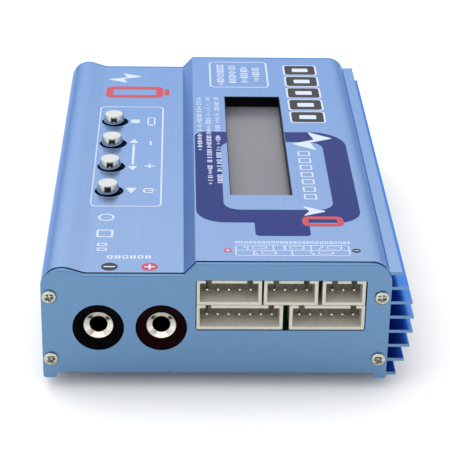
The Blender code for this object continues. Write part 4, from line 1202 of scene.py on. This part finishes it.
def make_lower_deck_print():
    """The frame and symbols of the buttons, a red battery, small signs and the poles' marks."""
    white = ring((-33.3, -15.7), (-30.0, 33.8), 1.6, 0.4) + button_symbols()
    white.append(bolt(-27.0, 55.4, 10.4, 7.6))
    # Small signs in a column: a circle, a square and two bars
    white += hoop(-29.0, -36.0, 2.0, 0.5)
    white += ring((-31.0, -27.0), (-46.6, -42.6), 0.6, 0.5)
    white += ring((-30.6, -28.2), (-51.2, -49.6), 0.3, 0.4)
    white += ring((-30.6, -28.2), (-53.6, -52.0), 0.3, 0.4)
    white += glyph_caption(-22.7, -56.6, 10.6, 1.7)
    poles_y, negative_x, positive_x, pole_radius = -61.35, -27.3, -18.1, 1.9
    white.append(minus(negative_x, poles_y, 1.3, 0.5))
    ink_print("white_print_lower", white, "white_ink", 1)

    red = ring((-32.2, -15.9), (40.4, 48.8), 2.2, 2.1)
    red.append(block((-15.6, -14.2), (42.4, 46.8), 0.4))
    red.append(circle(positive_x, poles_y, pole_radius, 48))
    ink_print("red_print_lower", red, "red_ink")
    negative = circle(negative_x, poles_y, pole_radius, 48)
    ink_print("black_print_lower", [negative], "grey_ink")
    positive_sign = plus(positive_x, poles_y, 1.25, 0.5)
    ink_print("white_plus_lower", [positive_sign], "white_ink", 1)


def make_battery_print():
    """A large battery outline round the display, its cap towards the output end."""
    outer = rounded(
        [
            (-7.3, 9.5, 3.0), (-7.3, -44.5, 9.0), (6.5, -44.5, 0.4), (6.5, -51.5, 1.2),
            (19.5, -51.5, 1.2), (19.5, -44.5, 0.4), (32.2, -44.5, 9.0), (32.2, 9.5, 9.0),
        ],
        12,
    )
    inner = block((-0.6, 26.0), (-37.6, 3.0), 4.0, 12)
    battery = prism("battery_print", [outer, inner], (0.0, INK_THICKNESS))
    window = slab("window", (WINDOW_X[0] - 0.15, WINDOW_X[1] + 0.15), WINDOW_Y, (-1.0, 1.0))
    carve(battery, [window])
    battery.data.transform(Matrix.Translation((0.0, 0.0, UPPER_DECK_Z * MM)))
    finish_piece(battery, "blue_ink")


def small_print():
    """A framed block of four short rows, and three long rows beside the display."""
    marks = ring((-2.8, 14.0), (41.0, 61.0), 1.6, 0.45)
    for i, x in enumerate((-0.6, 2.8, 6.2, 9.6)):
        marks += glyph_run(x, 58.6 - 0.8 * i, 15.4 - 1.6 * i, 2.0, 20 + i, 0.0)
    for x, run, seed in ((-6.6, 36.0, 30), (-4.2, 56.0, 31), (-1.8, 57.0, 32)):
        marks += glyph_run(x, 33.4, run, 1.25, seed, 0.28)
    return marks


def cell_table():
    """A table that names the headers under it: a number and a battery symbol in each field."""
    line, field_top, row_y, foot = 0.28, -56.2, -58.75, -61.6
    number_height = 1.75
    across = (1.5 + line, 10.3, 19.05, 27.9 - line)
    marks = [block((1.5, 27.9), (foot, field_top), 0.8)]
    for cells, left, right in ((4, *across[0:2]), (3, *across[1:3]), (2, *across[2:4])):
        field = (left + (line / 2 if left > across[0] else 0),
                 right - (line / 2 if right < across[-1] else 0))
        marks.append(block(field, (row_y, field_top - line), 0.15))
        marks += number(cells, (left + right) / 2 - 2.0, -57.6, number_height)
        marks += cell_symbol((left + right) / 2 + 1.2, -57.6, 3.6, 1.4)
    for cells, left, right in ((6, across[0], 14.4), (5, 14.7, across[-1])):
        marks.append(block((left, right), (foot + line, row_y - line), 0.15))
        marks += number(cells, (left + right) / 2 - 2.0, -60.2, number_height)
        marks += cell_symbol((left + right) / 2 + 1.2, -60.2, 3.6, 1.4)
    return marks


def make_upper_deck_print():
    """White print round the display and over the headers, with its red and grey signs."""
    white = small_print() + cell_table() + caption_bars(1.6, -54.9, 26.2, 1.2)
    box_count, box_length, box_pitch = 7, 3.0, 4.3
    for i in range(box_count):
        y = -3.0 - i * box_pitch
        white += ring((19.2, 22.4), (y - box_length, y), 0.3, 0.42)
    white.append(bolt(23.5, 3.6, 11.0, 12.0))
    arrow = [(18.3, -35.4, 0.2), (24.2, -38.4, 0.3), (18.3, -41.0, 0.2), (20.0, -38.3, 0.2)]
    white.append(rounded(arrow))
    ink_print("white_print_upper", white, "white_ink", 1)
    ink_print("red_print_upper", ring((17.9, 27.7), (-46.4, -41.2), 1.6, 1.5), "red_ink", 1)

    poles_y, positive_x, negative_x = -58.9, -0.2, 29.4
    ink_print("red_mark_upper", [circle(positive_x, poles_y, 1.0, 32)], "red_ink")
    ink_print("black_mark_upper", [circle(negative_x, poles_y, 1.0, 32)], "grey_ink")
    signs = [plus(positive_x, poles_y, 0.65, 0.26), minus(negative_x, poles_y, 0.6, 0.26)]
    ink_print("white_marks_upper", signs, "white_ink", 1)


def make_cell_bank_print():
    """Five cells in a row along the far end of the upper deck."""
    pale, dark = [], []
    count, length, pitch = 5, 7.9, 8.7
    for i in range(count):
        far = 58.6 - i * pitch
        near = far - length
        pale.append(block((18.6, 28.3), (near, far), 1.0))
        dark.append(block((19.1, 27.8), (near + 0.45, far - 0.45), 0.8))
        dark.append(block((21.2, 25.8), (near + 2.6, far - 2.6), 0.4))
    ink_print("pale_cells", pale, "white_ink")
    ink_print("dark_cells", dark, "grey_ink", 1)


def make_rear_plate_print():
    """A centre-positive symbol over the inlet, and a probe symbol over the small port."""
    jack, low = middle("dc_jack"), box_mm("sensor_port")[0]
    x, z, reach, radius, line = jack.x, low.z + 14.2, 4.0, 1.25, 0.26
    white = hoop(x, z, radius, 0.3) + [circle(x, z, 0.4, 24)]
    minus_x, plus_x = x - reach, x + reach
    white += hoop(plus_x, z, radius, 0.3) + [plus(plus_x, z, 0.7, 0.25)]
    white += hoop(minus_x, z, radius, 0.3)
    white.append(minus(minus_x, z, 0.7, line))
    for from_x in (x, minus_x):
        white.append(minus(from_x + reach / 2, z, reach / 2 - radius - 0.1, line))
    port_x = middle("sensor_port").x
    white += hoop(port_x, z - 0.9, 1.0, 0.3)
    white.append(block((port_x - 0.35, port_x + 0.35), (z + 0.2, z + 3.0), 0.3))
    span = (REAR_HIGH.y, REAR_HIGH.y + INK_THICKNESS)
    finish_piece(prism("white_print_rear", white, span, upright=True), "white_ink")


# ---------------------------------------------------------------- inside
def make_board_screws():
    """Countersunk screws under the case, and the pan heads that press the clamp bar."""
    turns = random.Random(11)
    sunk = [(0.0, -0.1), (2.1, -0.1), (2.2, -0.2), (1.2, -1.2), (1.2, -4.6), (1.0, -4.85),
            (0.0, -4.85)]
    for i in (1, 2, 3, 4):
        node = f"board_screw_{i}"
        place = middle(node)
        spot, turn = (place.x, place.y, box_mm(node)[0].z), turns.uniform(0, math.pi / 2)
        make_screw(node, sunk, spot, (0, 0, -1), turn, "steel", 1.1)
    head_radius, shank_radius = 2.2, 1.2
    angles = [math.radians(9 * i) for i in range(11)]
    head = [(head_radius * math.sin(a), 0.4 + math.cos(a)) for a in angles]
    head += [(head_radius, 0.1), (head_radius - 0.1, 0.05), (shank_radius, 0.05)]
    bar_left = box_mm("clamp_bar")[0].x
    for i in (1, 2):
        node = f"clamp_screw_{i}"
        low, high = box_mm(node)
        end = bar_left - high.x
        shank = [(shank_radius, end + 0.2), (shank_radius - 0.2, end), (0.0, end)]
        spot = (bar_left, (low.y + high.y) / 2, (low.z + high.z) / 2)
        turn = turns.uniform(0, math.pi / 2)
        make_screw(node, head + shank, spot, (-1, 0, 0), turn, "steel", 1.2)


def rod(name, route, radius):
    """Round wire along a route of points."""
    curve = bpy.data.curves.new(name, "CURVE")
    curve.dimensions = "3D"
    curve.bevel_depth = radius * MM
    curve.bevel_resolution = 1
    curve.use_fill_caps = True
    spline = curve.splines.new("POLY")
    spline.points.add(len(route) - 1)
    for point, place in zip(spline.points, route):
        point.co = (*(Vector(place) * MM), 1.0)
    guide = new_piece(name + "_guide", curve)
    mesh = evaluated_mesh(guide, name)
    bpy.data.objects.remove(guide, do_unlink=True)
    return smooth(new_piece(name, mesh))


def make_inductors():
    """Powder cores under one layer of enamelled wire, with both ends led to the board."""
    ring_radius, coil_radius, wire, turns, steps = 6.2, 2.38, 0.4, 24, 14
    for i in (1, 2):
        low, high = box_mm(f"inductor_{i}")
        centre = (low + high) / 2
        section = circle(ring_radius, 0.0, coil_radius - wire - 0.02, 28)
        core = turned(f"inductor_{i}_core", section, centre, (0, 0, 1), 48)
        smooth(core)
        finish_piece(core, "core", stands_for=[f"inductor_{i}"])

        route = []
        for k in range(turns * steps + 1):
            around = math.radians(330) * k / (turns * steps)
            through = 2 * math.pi * k / steps
            reach = ring_radius + coil_radius * math.cos(through)
            rise = coil_radius * math.sin(through)
            route.append(
                centre + Vector((reach * math.cos(around), reach * math.sin(around), rise))
            )
        for end, place in ((0, route[0]), (len(route) + 1, route[-1])):
            route.insert(end, Vector((place.x, place.y, low.z + 0.02)))
        winding = rod(f"inductor_{i}_winding", route, wire)
        finish_piece(winding, "copper")


def make_capacitors():
    """Electrolytic capacitors: a crimped can in a shrunk sleeve, scored to vent at the top."""
    for i in (1, 2):
        low, high = box_mm(f"capacitor_{i}")
        spot = ((low.x + high.x) / 2, (low.y + high.y) / 2, low.z)
        tall = high.z - low.z
        side = [(0.0, 0.0), (4.4, 0.0), (4.8, 0.15), (4.95, 0.5), (4.95, 1.3), (4.65, 1.65),
                (4.65, 1.95), (4.95, 2.3), (4.95, tall - 0.6), (4.85, tall - 0.25),
                (4.5, tall - 0.05), (4.1, tall - 0.05), (3.95, tall - 0.2), (0.0, tall - 0.2)]
        sleeve = turned(f"capacitor_{i}_sleeve", side, spot, (0, 0, 1), 48)
        smooth(sleeve, 50)
        finish_piece(sleeve, "sleeve", stands_for=[f"capacitor_{i}"])
        lid = [(0.0, -0.3), (3.9, -0.3), (3.9, -0.1), (3.8, -0.02), (0.0, -0.02)]
        top = turned(f"capacitor_{i}_lid", lid, (spot[0], spot[1], high.z), (0, 0, 1), 48)
        scores = [
            slab("score", (spot[0] - a, spot[0] + a), (spot[1] - b, spot[1] + b),
                 (high.z - 0.14, high.z + 0.1))
            for a, b in ((2.8, 0.15), (0.15, 2.8))
        ]
        carve(top, scores)
        soften(top, 0.04, 40)
        finish_piece(top, "can")


def make_controller():
    """Flat package with bent leads on all four sides."""
    low, high = box_mm("controller")
    centre = (low + high) / 2
    half = (high.x - low.x) / 2
    edge = half - 1.0
    body = slab(
        "controller_body",
        (centre.x - edge, centre.x + edge),
        (centre.y - edge, centre.y + edge),
        (low.z + 0.1, high.z),
    )
    dot_place = (centre.x - edge + 1.4, centre.y - edge + 1.4, high.z)
    carve(body, [drill(0.5, 0.15, dot_place, (0, 0, 1), 24, rise=0.5)])
    soften(body, 0.15)
    finish_piece(body, "epoxy", stands_for=["controller"])

    bend = [(edge - 0.1, 0.8), (edge + 0.35, 0.8), (edge + 0.62, 0.14), (half, 0.14),
            (half, 0.02), (edge + 0.52, 0.02), (edge + 0.26, 0.68), (edge - 0.1, 0.68)]
    shape = bmesh.new()
    leads, pitch, half_width = 14, 0.8, 0.18
    for quarter in range(4):
        turn = Matrix.Rotation(quarter * math.pi / 2, 4, "Z")
        for k in range(leads):
            y = (k - (leads - 1) / 2) * pitch
            sides = (y - half_width, y + half_width)
            loft(shape, [[turn @ Vector((x, side, z)) for x, z in bend] for side in sides])
    foot = Vector((centre.x, centre.y, low.z)) * MM
    shape.transform(Matrix.Translation(foot) @ Matrix.Scale(MM, 4))
    finish_piece(piece_from(shape, "controller_leads"), "tin")


def make_power_stage():
    """Power transistors with a thinner tab on top, and the bar that clamps them."""
    tab_thickness, pitch = 2.6, 2.54
    for i in (1, 2, 3):
        low, high = box_mm(f"power_transistor_{i}")
        y = (low.y + high.y) / 2
        tab_x = high.x - tab_thickness
        body = slab(
            f"power_transistor_{i}_body", (low.x, high.x), (low.y, high.y), (low.z, high.z - 4.0)
        )
        tab = slab("tab", (tab_x, high.x), (low.y, high.y), (high.z - 5.0, high.z))
        join(body, [tab])
        carve(body, [drill(1.6, 6.0, (high.x, y, high.z - 2.1), (1, 0, 0), 32)])
        soften(body, 0.2)
        finish_piece(body, "epoxy", stands_for=[f"power_transistor_{i}"])
        leads = [
            slab("lead", (tab_x, tab_x + 0.6), (y + side - 0.4, y + side + 0.4),
                 (BOARD_TOP_Z + 0.02, low.z + 0.6))
            for side in (-pitch, 0.0, pitch)
        ]
        comb = leads[0]
        comb.name = f"power_transistor_{i}_leads"
        join(comb, leads[1:])
        soften(comb, 0.05)
        finish_piece(comb, "tin")

    low, high = box_mm("clamp_bar")
    bar = slab("clamp_bar_strip", (low.x, high.x), (low.y, high.y), (low.z, high.z))
    places = [middle(f"clamp_screw_{i}") for i in (1, 2)]
    carve(bar, [drill(1.35, 4.0, (high.x, p.y, p.z), (1, 0, 0), 32) for p in places])
    soften(bar, 0.15)
    finish_piece(bar, "bar", stands_for=["clamp_bar"])


def make_buzzer():
    """A round case with a sound hole in its top."""
    low, high = box_mm("buzzer")
    tall, radius = high.z - low.z, (high.x - low.x) / 2
    side = [(0.0, 0.0), (radius - 0.1, 0.0), (radius, 0.1), (radius, tall - 0.3),
            (radius - 0.3, tall), (1.4, tall), (1.2, tall - 0.2), (1.2, 1.5), (0.0, 1.5)]
    spot = ((low.x + high.x) / 2, (low.y + high.y) / 2, low.z)
    buzzer = turned("buzzer_case", side, spot, (0, 0, 1), 48)
    smooth(buzzer, 40)
    finish_piece(buzzer, "black", stands_for=["buzzer"])


def make_switches():
    """Tactile switches: a black base under a steel cover, with a well for the stem."""
    well_radius, well_depth, inset = 1.85, 2.3, 0.15
    for name in BUTTONS:
        low, high = box_mm(f"switch_{name}")
        spot = ((low.x + high.x) / 2, (low.y + high.y) / 2, high.z)
        body = slab(
            f"switch_{name}_body", (low.x, high.x), (low.y, high.y), (low.z, high.z - 0.3)
        )
        carve(body, [drill(well_radius, well_depth, spot, (0, 0, 1), 48)])
        soften(body, 0.15)
        finish_piece(body, "black", stands_for=[f"switch_{name}"])
        cover_x, cover_y = (low.x + inset, high.x - inset), (low.y + inset, high.y - inset)
        cover = slab(f"switch_{name}_cover", cover_x, cover_y, (high.z - 0.32, high.z))
        carve(cover, [drill(well_radius, well_depth, spot, (0, 0, 1), 48)])
        soften(cover, 0.06)
        finish_piece(cover, "steel")


def make_pin_strips():
    """The pin strips that carry the display and the button board."""
    pitch, plastic_height = 2.54, 2.5
    for node, count in (("lcd_pin_strip", 16), ("key_pin_strip", 6)):
        low, high = box_mm(node)
        x, y = (low.x + high.x) / 2, (low.y + high.y) / 2
        wide, deep = (low.x, high.x), (low.y, high.y)
        strip = slab(f"{node}_base", wide, deep, (low.z, low.z + plastic_height))
        join(strip, [slab("upper", wide, deep, (high.z - plastic_height, high.z))])
        soften(strip, 0.15)
        finish_piece(strip, "black", stands_for=[node])
        shape = bmesh.new()
        for k in range(count):
            pin = bmesh.ops.create_cube(shape, size=1.0)["verts"]
            size = Matrix.Diagonal((PIN_SIDE, PIN_SIDE, high.z - low.z - 4.0, 1.0))
            place = Vector((x, y + (k - (count - 1) / 2) * pitch, (low.z + high.z) / 2))
            bmesh.ops.transform(shape, matrix=Matrix.Translation(place) @ size, verts=pin)
        shape.transform(Matrix.Scale(MM, 4))
        pins = piece_from(shape, f"{node}_pins")
        soften(pins, 0.05)
        finish_piece(pins, "tin")


def finish_boards():
    """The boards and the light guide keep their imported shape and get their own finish."""
    for node in ("lcd_board", "key_board", "balance_board", "main_board", "lcd_backlight"):
        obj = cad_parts[node]
        obj.data.materials.clear()
        obj.data.materials.append(MATERIALS["backlight" if node == "lcd_backlight" else "board"])


# ---------------------------------------------------------------- studio
def make_studio():
    """A pale floor, soft light all round, and a darker patch of room behind the camera."""
    floor_mesh = bpy.data.meshes.new("studio_floor")
    reach = 3.0
    floor_mesh.from_pydata(
        [(-reach, -reach, 0), (reach, -reach, 0), (reach, reach, 0), (-reach, reach, 0)],
        [],
        [(0, 1, 2, 3)],
    )
    floor = new_piece("studio_floor", floor_mesh)
    paper = lay_finish(
        "studio_paper", ("#F7F7F7", "#F6F6F6"), (0.88, 0.92), (80.0,) * 3, (2.0,) * 3, 0.01
    )
    floor.data.materials.append(paper)

    world = bpy.data.worlds.new("studio_room")
    bpy.context.scene.world = world
    world.use_nodes = True
    tree = world.node_tree
    background = tree.nodes["Background"]
    background.inputs["Color"].default_value = linear("#FFFFFF")
    direction = add(tree, "TexCoord")
    axes = add(tree, "SeparateXYZ", {"Vector": (direction, "Generated")})
    sideways = add(tree, "Math", {0: (axes, "X")}, operation="ABSOLUTE")
    ramps = {}
    for name, source, start, end, low, high in (
        # Brightest part of the way up, and less so at the horizon and overhead
        ("rising", (axes, "Z"), 0.0, 0.28, 0.72, 1.58),
        ("overhead", (axes, "Z"), 0.6, 0.9, 1.0, 0.55),
        # A little darker on the right
        ("side", (axes, "X"), -0.4, 0.9, 1.05, 0.84),
        # 0 in an unlit strip of room behind the camera: 1 beside, beyond, over and under it
        ("beside", (sideways, "Value"), 0.5, 0.68, 0.0, 1.0),
        ("beyond", (axes, "Y"), -0.45, -0.15, 0.0, 1.0),
        ("over", (axes, "Z"), 0.27, 0.38, 0.0, 1.0),
        ("under", (axes, "Z"), 0.0, -0.1, 0.0, 1.0),
    ):
        settings = {"From Min": start, "From Max": end, "To Min": low, "To Max": high}
        ramps[name] = (add(tree, "MapRange", {"Value": source, **settings}), "Result")
    around = add(tree, "Math", {0: ramps["beside"], 1: ramps["beyond"]}, operation="MAXIMUM")
    level = add(tree, "Math", {0: ramps["over"], 1: ramps["under"]}, operation="MAXIMUM")
    lit = add(tree, "Math", {0: (around, "Value"), 1: (level, "Value")}, operation="MAXIMUM")
    dimmed = add(tree, "MapRange", {"Value": (lit, "Value"), "To Min": 0.02, "To Max": 1.0})
    height = add(tree, "Math", {0: ramps["rising"], 1: ramps["overhead"]}, operation="MULTIPLY")
    shaded = add(tree, "Math", {0: ramps["side"], 1: (dimmed, "Result")}, operation="MULTIPLY")
    strength = add(
        tree, "Math", {0: (height, "Value"), 1: (shaded, "Value")}, operation="MULTIPLY"
    )
    tree.links.new(strength.outputs["Value"], background.inputs["Strength"])

    lamp = bpy.data.lights.new("overhead_softbox", "AREA")
    lamp.shape = "RECTANGLE"
    lamp.size, lamp.size_y = 1.2, 0.9
    lamp.energy = 4.5
    holder = bpy.data.objects.new("overhead_softbox", lamp)
    holder.location = (-0.2, 0.25, 1.1)
    aim = Vector((0, 0, 0.02)) - holder.location
    holder.rotation_euler = aim.to_track_quat("-Z", "Y").to_euler()
    bpy.context.scene.collection.objects.link(holder)
    bpy.context.scene.view_settings.view_transform = "Standard"


def make_camera():
    """The camera looks down on the output end from just left of the middle."""
    pitch, yaw, roll = [math.radians(a) for a in (CAMERA_PITCH, CAMERA_YAW, CAMERA_ROLL)]
    ahead = Vector(
        (math.sin(yaw) * math.cos(pitch), math.cos(yaw) * math.cos(pitch), -math.sin(pitch))
    )
    level = Vector((math.cos(yaw), -math.sin(yaw), 0.0))
    above = level.cross(ahead)
    right = math.cos(roll) * level + math.sin(roll) * above
    up = -math.sin(roll) * level + math.cos(roll) * above
    data = bpy.data.cameras.new("camera")
    data.lens = CAMERA_LENS
    data.sensor_width = 36.0
    data.clip_start, data.clip_end = 0.01, 10.0
    camera = bpy.data.objects.new("camera", data)
    turn = Matrix((right, up, -ahead)).transposed().to_4x4()
    camera.matrix_world = Matrix.Translation(Vector(CAMERA_PLACE) * MM) @ turn
    bpy.context.scene.collection.objects.link(camera)
    bpy.context.scene.camera = camera


# ---------------------------------------------------------------- everything
make_camera()
make_studio()
make_top_cover()
make_base_tray()
make_end_plates()
make_plate_screws()
make_feet()
make_display()
make_buttons()
make_output_sockets()
for cells in (2, 3, 4, 5, 6):
    make_header(f"balance_header_{cells}s", cells + 1, 1)
make_header("sensor_port", 3, -1)
make_power_inlet()
make_lower_deck_print()
make_battery_print()
make_upper_deck_print()
make_cell_bank_print()
make_rear_plate_print()
make_board_screws()
make_inductors()
make_capacitors()
make_controller()
make_power_stage()
make_buzzer()
make_switches()
make_pin_strips()
finish_boards()
